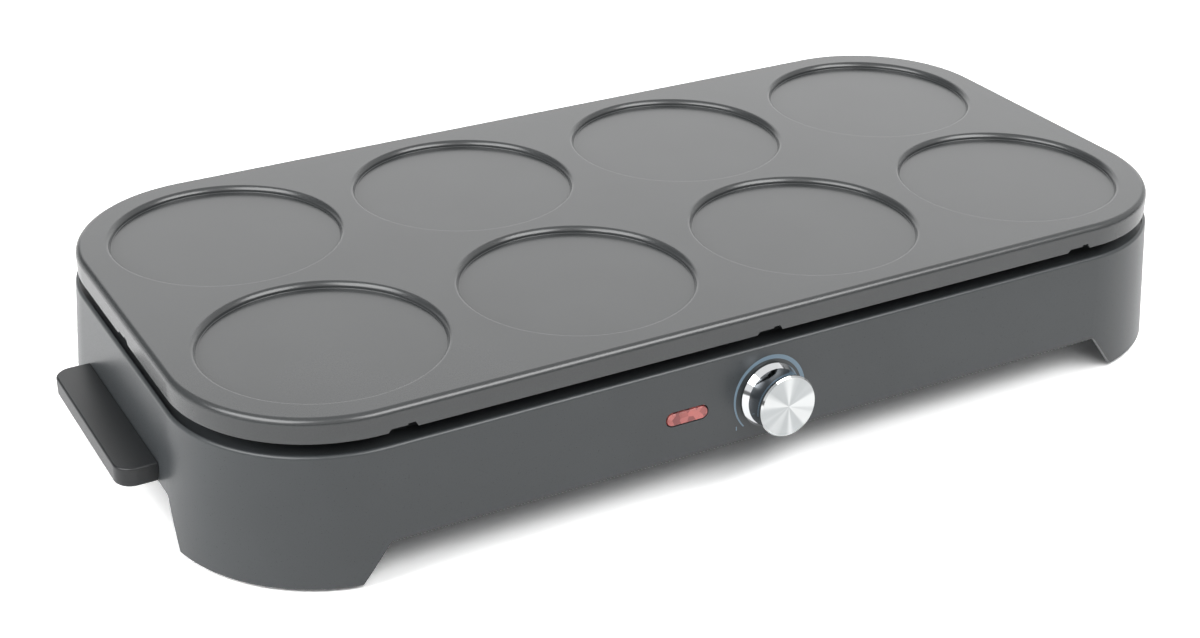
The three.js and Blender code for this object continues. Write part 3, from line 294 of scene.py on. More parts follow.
def well_tool(x, y):
    """A cutter for one well, followed from above the plate down its wall to its floor."""
    wall = [(well_radius, plate_top + overrun), (well_radius, plate_top)]
    slope = 0.0
    for radius, end in well_curves:
        reach, height = wall[-1]
        for step in range(1, curve_steps + 1):
            tilt = slope + (radians(end) - slope) * step / curve_steps
            wall.append((reach - radius * (sin(tilt) - sin(slope)),
                         height - radius * (cos(slope) - cos(tilt))))
        slope = radians(end)
    floor_z = plate_top - well_depth
    foot_z = floor_z + well_foot
    left = wall[-1][1] - foot_z + well_foot * cos(slope)
    foot_x = wall[-1][0] - left / tan(slope) - well_foot * sin(slope)
    wall += arc((foot_x, foot_z), well_foot, slope / quarter_turn - 1, -1, curve_steps)
    wall.append((well_radius / 4, floor_z))
    return turned(wall[::-1], upright(x, y), segments=160)


def notch_tools():
    """Cutters for the notches of all four sides, each laid across the skirt from outside."""
    high = notch_height + notch_step
    shape = [(-notch_half, -overrun), (notch_half, -overrun), (notch_half, 0), (notch_flat, high),
             (notch_bump, high), (notch_bump, notch_height), (-notch_flat, notch_height), (-notch_half, 0)]
    tools = []
    for turn in range(4):
        reach, places = ((plate_half_y, (-1, 0, 1)), (plate_half_x, (0,)))[turn % 2]
        for step in places:
            shift = step * notch_pitch + notch_shift * (turn % 2 == 0) * (1 - turn)
            spin = Matrix.Translation((0, middle_y, rim_low)) @ Matrix.Rotation(turn * quarter_turn, 4, "Z")
            lay = Matrix.Translation((shift, -reach, 0)) @ Matrix.Rotation(quarter_turn, 4, "X")
            tools.append(prism(shape, -skirt_wall - overrun, overrun, spin @ lay))
    return tools


# %% [markdown]
# Under the plate, two cast ribs run along the heating element and hold it in its bed. The bosses take the
# screws that fix the plate, and a smaller one takes the earth screw.

# %% Griddle plate: ribs and bosses below
element_radius = 0.0033
element_side_gap = 0.04625
element_end_gap = 0.0195
element_inner_share = 0.46
element_outer_y = plate_half_y - element_side_gap
element_inner_y = element_inner_share * element_outer_y
element_loop_x = plate_half_x - element_end_gap - element_outer_y
element_turn_x = 0.036
element_end_x = -0.010
element_bend = 0.009
bed_end_gap = 0.004
bed_rib_wall = 0.0024
bed_rib_height = 0.0046
boss_radius = 0.006
boss_height = 0.004
boss_bite = 0.0015
earth_boss_radius = 0.0045
screw_radius = 0.002
small_screw_radius = 0.0014
screw_gap = 0.0003
screw_hole = screw_radius + screw_gap
small_screw_hole = small_screw_radius + screw_gap
screw_hole_bite = 0.0006
earth_x = -0.044
fix_inset = 0.0195


def four(x, y):
    """The four places that lie alike in each quarter of the plan."""
    return [(side_x * x, middle_y + side_y * y) for side_x in (-1, 1) for side_y in (-1, 1)]


fixes = four(well_pitch[0], plate_half_y - fix_inset)


def element_line(inset):
    """The element's centre line in plan, from one end round both loops to the other."""
    turn_y = (element_outer_y + element_inner_y) / 2
    turn_radius = (element_outer_y - element_inner_y) / 2
    start_x = element_end_x - element_bend - inset
    points = [(start_x, -element_outer_y)]
    points += arc((-element_loop_x, 0), element_outer_y, 3, 1, 48)
    points += arc((element_loop_x, 0), element_outer_y, 1, -1, 48)
    points += arc((element_turn_x, -turn_y), turn_radius, 3, 1, 20)
    points += arc((element_loop_x, 0), element_inner_y, -1, 1, 32)
    points += arc((-element_loop_x, 0), element_inner_y, 1, 3, 32)
    points.append((start_x, -element_inner_y))
    return [Vector((x, middle_y + y, 0)) for x, y in points]


def rib(line, near, far, low, high):
    """A rib beside a line in plan, between two distances from it and two heights."""
    rings = []
    for i, point in enumerate(line):
        along = (line[min(i + 1, len(line) - 1)] - line[max(i - 1, 0)]).normalized()
        side = Vector((-along.y, along.x, 0))
        rings.append([point + side * across + Vector((0, 0, z)) for across, z in
                      ((near, low), (far, low), (far, high), (near, high))])
    return skin(rings)


def rods(radius, places, low, high, segments=48):
    """Upright rods between two heights, one at each place."""
    return [turned([(radius, low), (radius, high)], upright(x, y), segments) for x, y in places]


def griddle_plate():
    edge = [(-skirt_edge + x, rim_low + skirt_edge + z) for x, z in arc((0, 0), skirt_edge, -1, 0, 3)]
    edge += arc((-plate_edge, plate_top - plate_edge), plate_edge, 0, 1, 12)
    hollow = loft([(-skirt_wall, rim_low - overrun), (-skirt_wall, plate_under)])
    mesh = combined(loft(edge), [hollow])
    line = element_line(bed_end_gap)
    near = element_radius + seat_gap
    far = near + bed_rib_wall
    rib_low = plate_under - bed_rib_height
    boss_low = plate_under - boss_height
    bite = plate_under + boss_bite
    joined = [rib(line, side * near, side * far, rib_low, plate_under + seat_gap) for side in (-1, 1)]
    joined += rods(boss_radius, fixes, boss_low, bite)
    joined += rods(earth_boss_radius, [(earth_x, middle_y)], boss_low, bite)
    mesh = combined(mesh, joined, "UNION")
    hole_low = plate_under - overrun
    hole_top = plate_under + screw_hole_bite
    holes = rods(screw_hole, fixes, hole_low, hole_top, 32)
    holes += rods(small_screw_hole, [(earth_x, middle_y)], hole_low, hole_top, 32)
    return combined(mesh, holes + [well_tool(x, y) for x, y in well_centres] + notch_tools())


piece("griddle_plate_fine", griddle_plate(), ["griddle_plate"])

# %% [markdown]
# ## Housing
# The housing is one moulding, open below. Its walls lean out towards four legs, with an arch between each
# two, and a narrow deck turns inwards at the top to carry the plate. Behind the thin lip at its edge runs
# a shallow groove, which keeps the gap under the plate dark. Bosses, columns and ribs inside are moulded
# with it. The arches are cut straight through both walls.

# %% Housing: sizes
deck_width = 0.026
deck_thickness = 0.0026
housing_edge = 0.0014
foot_edge = 0.0004
arch_round = 0.0035
front_arch = (hub_x + 0.0015, 0.013, 0.017)
side_arch = (hub_y + 0.0022, 0.0115, 0.0213)
column_radius = 0.009
column_setback = 0.0145
column_recess = 0.0015
column_bore = (0.005, 0.014)
column_rib_wall = 0.0022
cover_boss_radius = 0.0045
cover_boss_setback = 0.006
cover_fix_x = hub_x - 0.021
housing_top = housing_high.z
housing_foot_z = housing_low.z
deck_low = housing_top - deck_thickness
lip_inside = -0.0002
groove_inside = -0.012
groove_depth = 0.0018
cover_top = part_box("bottom_cover")[1].z
column_reach = (plate_corner - column_setback) * sqrt(0.5)
columns = four(hub_x + column_reach, hub_y + column_reach)
cover_fix_y = plate_half_y + wall_offset(housing_top) - cover_boss_setback
cover_fixes = four(cover_fix_x, cover_fix_y)
cover_hole_reach = 0.012
bend_steps = 8


# %% Housing: the shell
def leaning(extra, low, high):
    """A solid with the lean of the housing's wall, moved outwards by an extra."""
    return loft([(wall_offset(low) + extra, low), (wall_offset(high) + extra, high)])


def arch_tool(half_top, run, height, reach, turn):
    """An arch with sloping ends and rounded upper corners, cut through both walls."""
    slope = atan2(height, run)
    tangent = arch_round * tan(slope / 2)
    low_x = half_top + run + overrun / tan(slope)
    corner = Vector((half_top, height))
    side = corner + tangent * Vector((cos(slope), -sin(slope)))
    inner = corner - Vector((tangent, 0))
    bend = []
    for i in range(bend_steps + 1):
        t = i / bend_steps
        bend.append(side * (1 - t) ** 2 + corner * 2 * t * (1 - t) + inner * t ** 2)
    right = [(low_x, -overrun)] + [tuple(point) for point in bend]
    left = [(-x, z) for x, z in reversed(right)]
    place = Matrix.Translation((0, middle_y, housing_foot_z)) @ Matrix.Rotation(turn * quarter_turn, 4, "Z")
    return prism(right + left, -reach, reach, place @ Matrix.Rotation(quarter_turn, 4, "X"))


def housing_shell():
    """The walls and the deck, with a small round at the foot and at the lip."""
    foot = [(wall_offset(housing_foot_z) + x, z) for x, z in
            arc((-foot_edge, housing_foot_z + foot_edge), foot_edge, -1, 0, 3)]
    round_low = housing_top - housing_edge
    lean = wall_offset(round_low) - wall_offset(housing_top)
    centre = (wall_offset(housing_top) - housing_edge, round_low)
    edge = [(x + lean * (housing_top - z) / housing_edge, z) for x, z in arc(centre, housing_edge, 0, 1, 8)]
    inner = leaning(-housing_wall, housing_foot_z - overrun, deck_low)
    mouth = loft([(-deck_width, deck_low - overrun), (-deck_width, housing_top + overrun)])
    groove_low = housing_top - groove_depth
    groove_walls = [(lip_inside, groove_low), (lip_inside, housing_top + overrun),
                    (groove_inside, housing_top + overrun), (groove_inside, groove_low)]
    groove = skin([outline(offset, z) for offset, z in groove_walls], loop=True)
    return combined(loft(foot + edge), [inner, mouth, groove])


# %% Housing: columns, ribs, bosses and holes
def wall_rod(radius, place, segments=64):
    """A cutter for a round hole square to the wall."""
    return turned([(radius, -overrun), (radius, overrun)], place, segments)


def column_rib(x, y):
    """A rib from a leg's column out to its corner, cut to the wall's lean."""
    reach = column_setback + wall_offset(housing_foot_z) - housing_wall / 2
    half = column_rib_wall / 2
    side = Vector((copysign(1, x), copysign(1, y - middle_y), 0)).normalized()
    turn = Matrix.Rotation(atan2(side.y, side.x), 4, "Z")
    shape = [(0, -half), (reach, -half), (reach, half), (0, half)]
    low = cover_top + 2 * seat_gap
    block = prism(shape, low, deck_low + seat_gap, upright(x, y) @ turn)
    return combined(block, [leaning(-housing_wall / 2, 0, housing_top)], "INTERSECT")


def housing():
    mesh = housing_shell()
    high = deck_low + seat_gap
    joined = rods(column_radius, columns, housing_foot_z + column_recess, high)
    joined += [column_rib(x, y) for x, y in columns]
    joined += rods(cover_boss_radius, cover_fixes, cover_top + seat_gap, high)
    mesh = combined(mesh, joined, "UNION")
    bore_top = housing_foot_z + column_recess + column_bore[1]
    holes = rods(column_bore[0], columns, -overrun, bore_top)
    holes += rods(small_screw_hole, cover_fixes, 0, cover_top + cover_hole_reach, 24)
    holes += rods(screw_hole, fixes, deck_low - overrun, housing_top + overrun, 24)
    holes.append(arch_tool(*front_arch, plate_half_y + housing_foot + overrun, 0))
    holes.append(arch_tool(*side_arch, plate_half_x + housing_foot + overrun, 1))
    return combined(mesh, holes + wall_holes())


# %% [markdown]
# ## What goes through the walls
# The knob's bush, the lamp's window and the gland each have a hole square to the leaning wall. Their
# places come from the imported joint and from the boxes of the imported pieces.

# %% Places on the walls
knob_x, _, knob_z = frame["joints"][0]["pos_m"]
knob_place = wall_place(knob_x, knob_z)
lens_raise = 0.0004
lens_x = sum(corner.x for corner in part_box("indicator_lens")) / 2
lens_place = wall_place(lens_x, knob_z + lens_raise)
gland_x = sum(corner.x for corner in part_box("cord_gland")) / 2
gland_clearance = 0.0042
gland_radius = 0.0065
gland_place = wall_place(gland_x, cover_top + gland_clearance + gland_radius, 1)
lens_window = (0.020, 0.0056)
lens_gap = 0.0006
bush_radius = 0.0048
handle_low, handle_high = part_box("handle_right")
handle_z = (handle_low.z + handle_high.z) / 2
handle_fix_y = 0.030
handle_bore = 0.0113
print("knob at", [round(v * 1000, 1) for v in knob_place.translation])


def stadium(size, steps=12):
    """A flat outline with round ends, from its width and height."""
    radius = size[1] / 2
    reach = size[0] / 2 - radius
    return arc((reach, 0), radius, -1, 1, steps) + arc((-reach, 0), radius, 1, 3, steps)


def handle_screw_places():
    """Where the handles' screws pass the short walls, local Z pointing out."""
    for side in (-1, 1):
        out = Matrix.Rotation(side * quarter_turn, 4, "Y")
        for y in (-handle_fix_y, handle_fix_y):
            wall_x = side * (plate_half_x + wall_offset(handle_z))
            yield Matrix.Translation((wall_x, middle_y + y, handle_z)) @ out


def wall_holes():
    window = stadium([size + 2 * lens_gap for size in lens_window])
    tools = [wall_rod(screw_hole, place, 24) for place in handle_screw_places()]
    tools.append(wall_rod(bush_radius + screw_gap, knob_place))
    tools.append(prism(window, -overrun, overrun, lens_place))
    tools.append(wall_rod(gland_radius + screw_gap, gland_place))
    return tools


piece("housing_fine", housing(), ["housing"])

# %% [markdown]
# ## Handles
# Each handle is a solid moulded slab with a small round along its edges and larger corners. It is screwed
# on from inside the wall, so no screw shows. A slab is drawn as rings that step in and out along the edge
# round, and then cut by the leaning wall that it sits on.

# %% Handles
handle_corner = 0.008
handle_edge = 0.001
handle_bite = 0.006


def slab_ring(inset, z, side, half_y):
    """The handle's outline at one height, stepped in by an inset."""
    near = plate_half_x + wall_offset(handle_high.z) - handle_bite
    far = handle_high.x - handle_corner
    reach = half_y - handle_corner
    radius = handle_corner - inset
    points = [(near, -half_y + inset)]
    points += arc((far, -reach), radius, -1, 0, 12)
    points += arc((far, reach), radius, 0, 1, 12)
    points.append((near, half_y - inset))
    return [Vector((side * x, middle_y + y, z)) for x, y in points]


def handle(side):
    low = handle_low.z
    high = handle_high.z
    half_y = (handle_high.y - handle_low.y) / 2
    steps = arc((-handle_edge, low + handle_edge), handle_edge, -1, 0, 6)
    steps += arc((-handle_edge, high - handle_edge), handle_edge, 0, 1, 6)
    slab = skin([slab_ring(-x, z, side, half_y) for x, z in steps])
    keep_out = leaning(seat_gap, low - overrun, high + overrun)
    bore = [(screw_hole, -overrun), (screw_hole, handle_bore)]
    bores = [turned(bore, place, 24) for place in handle_screw_places() if place.translation.x * side > 0]
    return combined(slab, [keep_out] + bores)


for side, name in ((-1, "left"), (1, "right")):
    piece(f"handle_{name}_fine", handle(side), [f"handle_{name}"])

# %% [markdown]
# ## Knob
# The knob is three pieces on one spindle: a chromed ring with a cone, a body of smoked chrome with a
# waist, and a spun aluminium disc with a polished chamfer on its front. The body looks nearly black only
# because it mirrors the dark wall round it. Each piece is turned on its own axis, so its object is placed
# on the wall with local Z along the spindle. The spun face needs that axis for its circular brushing.

# %% Knob: sizes
knob_gap = 0.0006
knob_proud = 0.015
ring_radius = 0.0149
ring_height = 0.0032
ring_land = 0.0005
ring_taper = 0.0018
ring_wall = 0.0022
body_shoulder = 0.0135
body_waist = 0.0126
body_neck = 0.0131
face_radius = 0.01405
face_thickness = 0.0016
face_chamfer = 0.0007
small_round = 0.00012
waist_steps = 16
spindle_radius = 0.0033
spindle_flat = (0.00215, 0.0025)
spindle_socket = 0.0113
bush_room = (0.0088, 0.0046)
ring_front = knob_gap + ring_height
face_back = knob_proud - face_thickness
body_front = face_back - seat_gap


# %% Knob: ring, body and face
def knob_ring():
    inside = ring_radius - ring_wall
    profile = [(inside, knob_gap), (ring_radius - small_round, knob_gap)]
    profile += [(ring_radius, knob_gap + small_round), (ring_radius, knob_gap + ring_land)]
    profile.append((ring_radius - ring_taper, ring_front))
    profile += arc((inside + small_round, ring_front - small_round), small_round, 1, 2, 3)
    return turned(profile, segments=160, loop=True)


def knob_body():
    spigot = ring_radius - ring_wall - seat_gap
    back = knob_gap + seat_gap
    shoulder = ring_front + seat_gap
    profile = [(spigot, back), (spigot, shoulder)]
    profile += arc((body_shoulder - small_round, shoulder + small_round), small_round, -1, 0, 3)
    for i in range(1, waist_steps):
        t = i / waist_steps
        height = shoulder + small_round + t * (body_front - shoulder - 2 * small_round)
        straight = body_shoulder + t * (body_neck - body_shoulder)
        depth = (body_shoulder + body_neck) / 2 - body_waist
        profile.append((straight - depth * 4 * t * (1 - t), height))
    profile += arc((body_neck - small_round, body_front - small_round), small_round, 0, 1, 3)
    flat_half, flat_y = spindle_flat
    socket = [(x, y) for x, y in arc((0, 0), spindle_radius, 0, 4, 47) if y < flat_y]
    socket += [(-flat_half, flat_y), (flat_half, flat_y)]
    socket.sort(key=lambda point: atan2(point[1], point[0]))
    room_radius, room_depth = bush_room
    tools = [turned([(room_radius, -overrun), (room_radius, back + room_depth)]),
             prism(socket, 0, spindle_socket)]
    return combined(turned(profile, segments=160), tools)


def knob_face():
    profile = [(face_radius - small_round, face_back), (face_radius, face_back + small_round)]
    profile += [(face_radius, knob_proud - face_chamfer), (face_radius - face_chamfer, knob_proud)]
    return turned(profile, segments=160)


for name, mesh in (("knob_ring", knob_ring()), ("knob_body", knob_body()), ("knob_face", knob_face())):
    piece(f"{name}_fine", mesh, [name], "knob", knob_place)

# %% [markdown]
# ## Indicator lens
# The lens is clear red acrylic, moulded with ribs on its back that spread the lamp's light. They are cut as
# real grooves, and its material paints the light and shade of the uneven facets that show from outside into its
# colour.

# %% Indicator lens
lens_proud = 0.0004
lens_flange = 0.0013
lens_flange_thickness = 0.0012
lens_edge = 0.0003
lens_rib_pitch = 0.0052
lens_rib_depth = 0.0011
lens_rib_turn = radians(38)


def indicator_lens():
    flange_front = -housing_wall - seat_gap
    back = flange_front - lens_flange_thickness
    steps = [(-x, z) for x, z in arc((lens_edge, lens_proud - lens_edge), lens_edge, 1, 2, 4)]
    steps += [(0, flange_front), (lens_flange, flange_front), (lens_flange, back)]
    rings = []
    for grow, height in steps:
        size = [length + 2 * grow for length in lens_window]
        rings.append([Vector((x, y, height)) for x, y in stadium(size)])
    grooves = []
    for turn in (-lens_rib_turn, lens_rib_turn):
        for step in range(-3, 3):
            x = (step + 0.5) * lens_rib_pitch
            half = lens_rib_pitch / 2
            shape = [(x - half, back - seat_gap), (x + half, back - seat_gap), (x, back + lens_rib_depth)]
            lay = Matrix.Rotation(turn, 4, "Z") @ Matrix.Rotation(quarter_turn, 4, "X")
            grooves.append(prism(shape, -lens_window[0], lens_window[0], lay))
    return combined(skin(rings), grooves)


piece("indicator_lens_fine", indicator_lens(), ["indicator_lens"], "base", lens_place)

# %% [markdown]
# ## Dial print
# A narrow printed arc round the knob widens from its low end to its high end, with a small plain number at
# each end. Print is a very thin layer on the wall. Here it is a closed strip a few hundredths of a
# millimetre thick, so that it stays a shape of its own on the model.

# %% Dial print
print_rise = 0.00004
print_sunk = 0.00003
dial_inside = 0.0165
dial_outside = 0.0184
dial_start = -132
dial_end = 132
dial_taper = 130
dial_thin = 0.0006
dial_steps = 120
number_weight = 0.00012
number_shift = 6


def dial_arc():
    """A flat strip round the knob that widens until the taper's end."""
    rings = []
    for i in range(dial_steps + 1):
        angle = dial_start + (dial_end - dial_start) * i / dial_steps
        share = min(1.0, (angle - dial_start) / dial_taper)
        inside = dial_outside - dial_thin - (dial_outside - dial_inside - dial_thin) * share
        turn = radians(angle)
        ray = Vector((sin(turn), cos(turn), 0))
        corners = ((inside, -print_sunk), (dial_outside, -print_sunk),
                   (dial_outside, print_rise), (inside, print_rise))
        rings.append([ray * radius + Vector((0, 0, z)) for radius, z in corners])
    return skin(rings)


def printed(name, mesh, place):
    """A piece of print: it rides on the base and replaces nothing."""
    result = placed(name, mesh, place)
    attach(result, "base")
    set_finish(result, slots["housing"])
    made.append(result)
    return result


def dial_number(text, angle, radius=0.0212, height=0.0024):
    """The mesh of a plain number, and its place on the dial."""
    letter = bpy.data.curves.new("number", "FONT")
    letter.body = text
    letter.size = height
    letter.extrude = print_rise
    letter.offset = number_weight
    letter.align_x = "CENTER"
    letter.align_y = "CENTER"
    holder = placed("number", letter)
    mesh = bpy.data.meshes.new_from_object(holder.evaluated_get(bpy.context.evaluated_depsgraph_get()))
    bpy.data.objects.remove(holder)
    turn = radians(angle)
    return mesh, knob_place @ Matrix.Translation((radius * sin(turn), radius * cos(turn), 0))


prints = [printed("dial_arc", dial_arc(), knob_place)]
for text, angle in (("1", dial_start + number_shift), ("6", dial_end - number_shift)):
    prints.append(printed(f"dial_number_{text}", *dial_number(text, angle)))
print([item.name for item in prints])

# %% [markdown]
# ## Feet, screws and gland
# These show only from below or behind.


# %% Feet and screws
pad_radius = 0.008
pad_edge = 0.0006
cover_head = (0.0029, 0.0018)
hexagon_radius = 0.0012
hexagon_depth = 0.001
dome_steps = (0.2, 0.4, 0.6, 0.8, 0.92, 1)
dome_share = 0.75


def foot_pad(x, y):
    """A rubber disc with a stem that is pressed into the bore of its leg."""
    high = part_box("foot_pad_1")[1]
    disc_top = housing_foot_z + column_recess - seat_gap
    stem = column_bore[0] - seat_gap
    profile = arc((pad_radius - pad_edge, pad_edge), pad_edge, -1, 0, 5)
    profile += [(pad_radius, disc_top), (stem, disc_top), (stem, high.z - pad_edge)]
    profile.append((stem - pad_edge, high.z))
    return turned(profile, upright(x, y), 64)


def screw(head_radius, head_height, radius, length, place):
    """A screw along local Z: a domed head with a hexagon socket at the origin, its shank running up."""
    crown = head_height / 2
    profile = [(head_radius * step, crown * (1 - sqrt(1 - step ** 2 * dome_share)) * 2)
               for step in dome_steps]
    profile += [(head_radius, head_height), (radius, head_height)]
    profile += [(radius, length - radius), (radius / 2, length)]
    hexagon = arc((0, 0), hexagon_radius, 0, 4, 6)[:-1]
    return combined(turned(profile, place, 48), [prism(hexagon, -overrun, hexagon_depth, place)])


for number, (x, y) in enumerate(columns, 1):
    piece(f"foot_pad_{number}_fine", foot_pad(x, y), [f"foot_pad_{number}"])
for number, (x, y) in enumerate(cover_fixes, 1):
    low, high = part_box(f"cover_screw_{number}")
    place = Matrix.Translation((x, y, low.z))
    mesh = screw(*cover_head, small_screw_radius, high.z - low.z, place)
    piece(f"cover_screw_{number}_fine", mesh, [f"cover_screw_{number}"])


# %% Cord gland
gland_flange = (0.0086, 0.0018)
gland_edge = 0.0006
gland_bore = 0.0045
gland_reach = 0.014


def cord_gland():
    """A sleeve through the rear wall with a rounded flange outside."""
    flange = gland_flange[0]
    front = seat_gap + gland_flange[1]
    profile = [(gland_radius, -gland_reach), (gland_radius, seat_gap), (flange, seat_gap)]
    profile += arc((flange - gland_edge, front - gland_edge), gland_edge, 0, 1, 5)
    profile += arc((gland_bore + gland_edge, front - gland_edge), gland_edge, 1, 2, 5)
    profile.append((gland_bore, -gland_reach))
    return turned(profile, segments=96, loop=True)


piece("cord_gland_fine", cord_gland(), ["cord_gland"], "base", gland_place)

# %% [markdown]
# ## Colours and nodes
# Colours are written as sRGB hex values, as read off a colour chart, and one function turns them to the
# linear values that shaders work with. One small function adds a node with its settings and its links.


# %% Colour and node helpers
def linear(hex_colour):
    """An sRGB hex colour as linear red, green, blue and alpha."""
    channels = [int(hex_colour[i:i + 2], 16) / 255 for i in (1, 3, 5)]
    return [c / 12.92 if c <= 0.04045 else ((c + 0.055) / 1.055) ** 2.4 for c in channels] + [1.0]


def add(tree, kind, inputs=None, **settings):
    """A shader node; each input is a value, or another node's output that is linked to it."""
    node = tree.nodes.new("ShaderNode" + kind)
    for name, value in settings.items():
        setattr(node, name, value)
    usable = {socket.name: socket for socket in node.inputs if socket.enabled}
    for name, value in (inputs or {}).items():
        socket = usable[name] if isinstance(name, str) else node.inputs[name]
        if isinstance(value, bpy.types.NodeSocket):
            tree.links.new(value, socket)
        else:
            socket.default_value = value
    return node


# %% [markdown]
# ## Textured finishes
# Moulded plastic, pressed sheet, rubber and castings differ in colour, gloss and grain, but are built
# alike: a fine grain bends the light a little and varies the gloss, and a broad mottle keeps large faces
# from looking painted. Grain is in millimetres. The ends are those between which a noise mostly stays, and
# the sum of two.

# %% Textured finish
millimetre = 0.001
noise_ends = (0.3, 0.7)
sum_ends = (0.7, 1.3)


def textured(name, colour, roughness, grain, relief, mottle=0.08, gloss=0.06, squeeze=(1, 1, 1), broad=40.0,
             **plain):
    """A material with grain and relief in millimetres; plain holds the shader's other plain numbers."""
    material = bpy.data.materials.new(name)
    material.use_nodes = True
    tree = material.node_tree
    shader = tree.nodes["Principled BSDF"]
    for socket, value in plain.items():
        shader.inputs[socket.replace("_", " ")].default_value = value
    place = add(tree, "TexCoord").outputs["Object"]
    scale = [s / (grain * millimetre) for s in squeeze]
    cells = add(tree, "Mapping", {"Vector": place, "Scale": scale})
    noise = {"Vector": cells.outputs[0], "Scale": 1.0, "Detail": 3.0, "Roughness": 0.6}
    fine = add(tree, "TexNoise", noise).outputs[0]
    wide = add(tree, "TexNoise", {"Vector": place, "Scale": 1 / (broad * millimetre), "Detail": 2.0})
    base = linear(colour)
    dark = [c * (1 - mottle) for c in base[:3]] + [1.0]
    light = [c * (1 + mottle) for c in base[:3]] + [1.0]
    both = add(tree, "Math", {0: fine, 1: wide.outputs[0]}, operation="ADD")
    share = add(tree, "MapRange", {"Value": both.outputs[0], "From Min": sum_ends[0],
                                   "From Max": sum_ends[1]})
    mix = add(tree, "Mix", {"Factor": share.outputs[0], "A": dark, "B": light}, data_type="RGBA")
    tree.links.new(mix.outputs["Result"], shader.inputs["Base Color"])
    spread = add(tree, "MapRange", {"Value": fine, "From Min": noise_ends[0], "From Max": noise_ends[1],
                                    "To Min": roughness - gloss, "To Max": roughness + gloss})
    tree.links.new(spread.outputs[0], shader.inputs["Roughness"])
    bump = add(tree, "Bump", {"Height": fine, "Distance": relief * millimetre, "Strength": 1.0})
    tree.links.new(bump.outputs[0], shader.inputs["Normal"])
    return material


def metal(*look, **more):
    """A textured finish whose reflection has its own colour."""
    return textured(*look, Metallic=1.0, **more)


# %% [markdown]
# ## Finishes by slot
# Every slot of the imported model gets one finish, named for its material and how its surface was made. The
# comment above it says what that gives the eye.

# %% Finishes by slot
finishes = {
    # Sprayed over blasted metal: a dark satin sheen. Its flakes mirror more than plain PTFE does.
    "plate_coating": textured("PTFE coated cast aluminium", "#363839", 0.24, 0.7, 0.004, mottle=0.1,
                              gloss=0.03, IOR=1.6),
    # A spark eroded mould leaves an even matt grain and soft highlights.
    "housing_plastic": textured("moulded heat resistant plastic", "#393C3E", 0.33, 0.5, 0.005, IOR=1.5),
    "handle_plastic": textured("moulded satin plastic", "#191B1D", 0.36, 0.5, 0.005, IOR=1.5),
    # Plated over polished plastic: a mirror, and the smoked one a darker mirror.
    "knob_plastic": metal("smoked chrome on ABS", "#B4BAC0", 0.08, 2.0, 0.0003, mottle=0.03, gloss=0.02),
    "chrome": metal("chrome plate", "#E2E4E6", 0.05, 3.0, 0.0004, mottle=0.02, gloss=0.02),
    # Pressed in a blasted mould: dull, almost without a highlight.
    "rubber": textured("black silicone rubber", "#1B1C1D", 0.75, 0.4, 0.02, IOR=1.43),
    # Powder melts to a fine orange peel with a broad, low sheen.
    "cover_steel": textured("powder coated pressed steel", "#26282A", 0.55, 0.6, 0.02, IOR=1.5),
    # Rolled sheet keeps faint lines along the roll.
    "aluminised_steel": metal("aluminised steel sheet", "#B9BBBC", 0.34, 1.5, 0.004, squeeze=(1, 6, 6)),
    # Heat has turned the bright tube a cloudy brown.
    "element_steel": metal("oxidised steel tube", "#5A5550", 0.5, 1.2, 0.01, mottle=0.2),
    # Zinc from a barrel bath is bright, a little cloudy.
    "bright_steel": metal("zinc plated pressed steel", "#B4B7BA", 0.3, 1.0, 0.003, mottle=0.1),
    "screw_steel": metal("zinc plated screw steel", "#A9ACB0", 0.28, 0.8, 0.003, mottle=0.12),
    # Turned and drawn metals reflect in their own clean colour.
    "brass": metal("turned brass", "#C9A85C", 0.26, 0.6, 0.002, mottle=0.08),
    "copper": metal("drawn copper", "#BE7450", 0.28, 0.8, 0.002, mottle=0.1),
    # Pressed hot from powder: dark, glossy and slightly marbled.
    "bakelite": textured("moulded phenolic", "#2B211B", 0.32, 1.2, 0.004, mottle=0.2, IOR=1.6),
    # Natural nylon is milky, with a waxy, broad highlight.
    "nylon": textured("natural nylon", "#DAD6CB", 0.42, 0.8, 0.006, mottle=0.04, IOR=1.53),
    # Blown glass: smooth, clear and barely tinted.
    "lamp_glass": textured("lamp glass", "#E8DCC8", 0.05, 3.0, 0.0004, mottle=0.02, gloss=0.02, IOR=1.5,
                           Transmission_Weight=0.7),
    # A braid of glass yarn reads as a coarse, dry ripple.
    "fuse_sleeve": textured("woven glass sleeve", "#D6D0BE", 0.7, 0.6, 0.06, mottle=0.15, squeeze=(1, 2, 2),
                            IOR=1.5),
}
# Extruded silicone looks plain and soft; only the colour code differs.
for name, colour in (("brown", "#6A4028"), ("blue", "#2F5F9C"), ("green", "#5C8A35")):
    finishes[f"sleeve_{name}"] = textured(f"{name} silicone sleeve", colour, 0.55, 0.8, 0.01, IOR=1.43)
print(len(finishes), "textured finishes")

# %% [markdown]
# ## Spun aluminium
# The knob's face is cut on a lathe, and its fine circular grooves stretch every highlight into a spoke.
# That is what anisotropy is for: the tangent runs round the local Z axis. The single grooves are too fine
# to draw, so broad faint rings in the gloss stand for them. The uneven spokes of reflected light that a
# real cut shows are painted into the colour as soft lighter and darker fans, fixed to the face: painted
# reflection. The chamfer round the face was cut with a polished tool and mirrors.


# %% Spun aluminium
groove_scale = 1 / 18  # per millimetre; the wave texture then sets its rings 5.7 mm apart
groove_gloss = (0.36, 0.39)
chamfer_gloss = 0.07
painted_spoke_scale = 1.7
painted_spoke_ends = (0.38, 0.62)


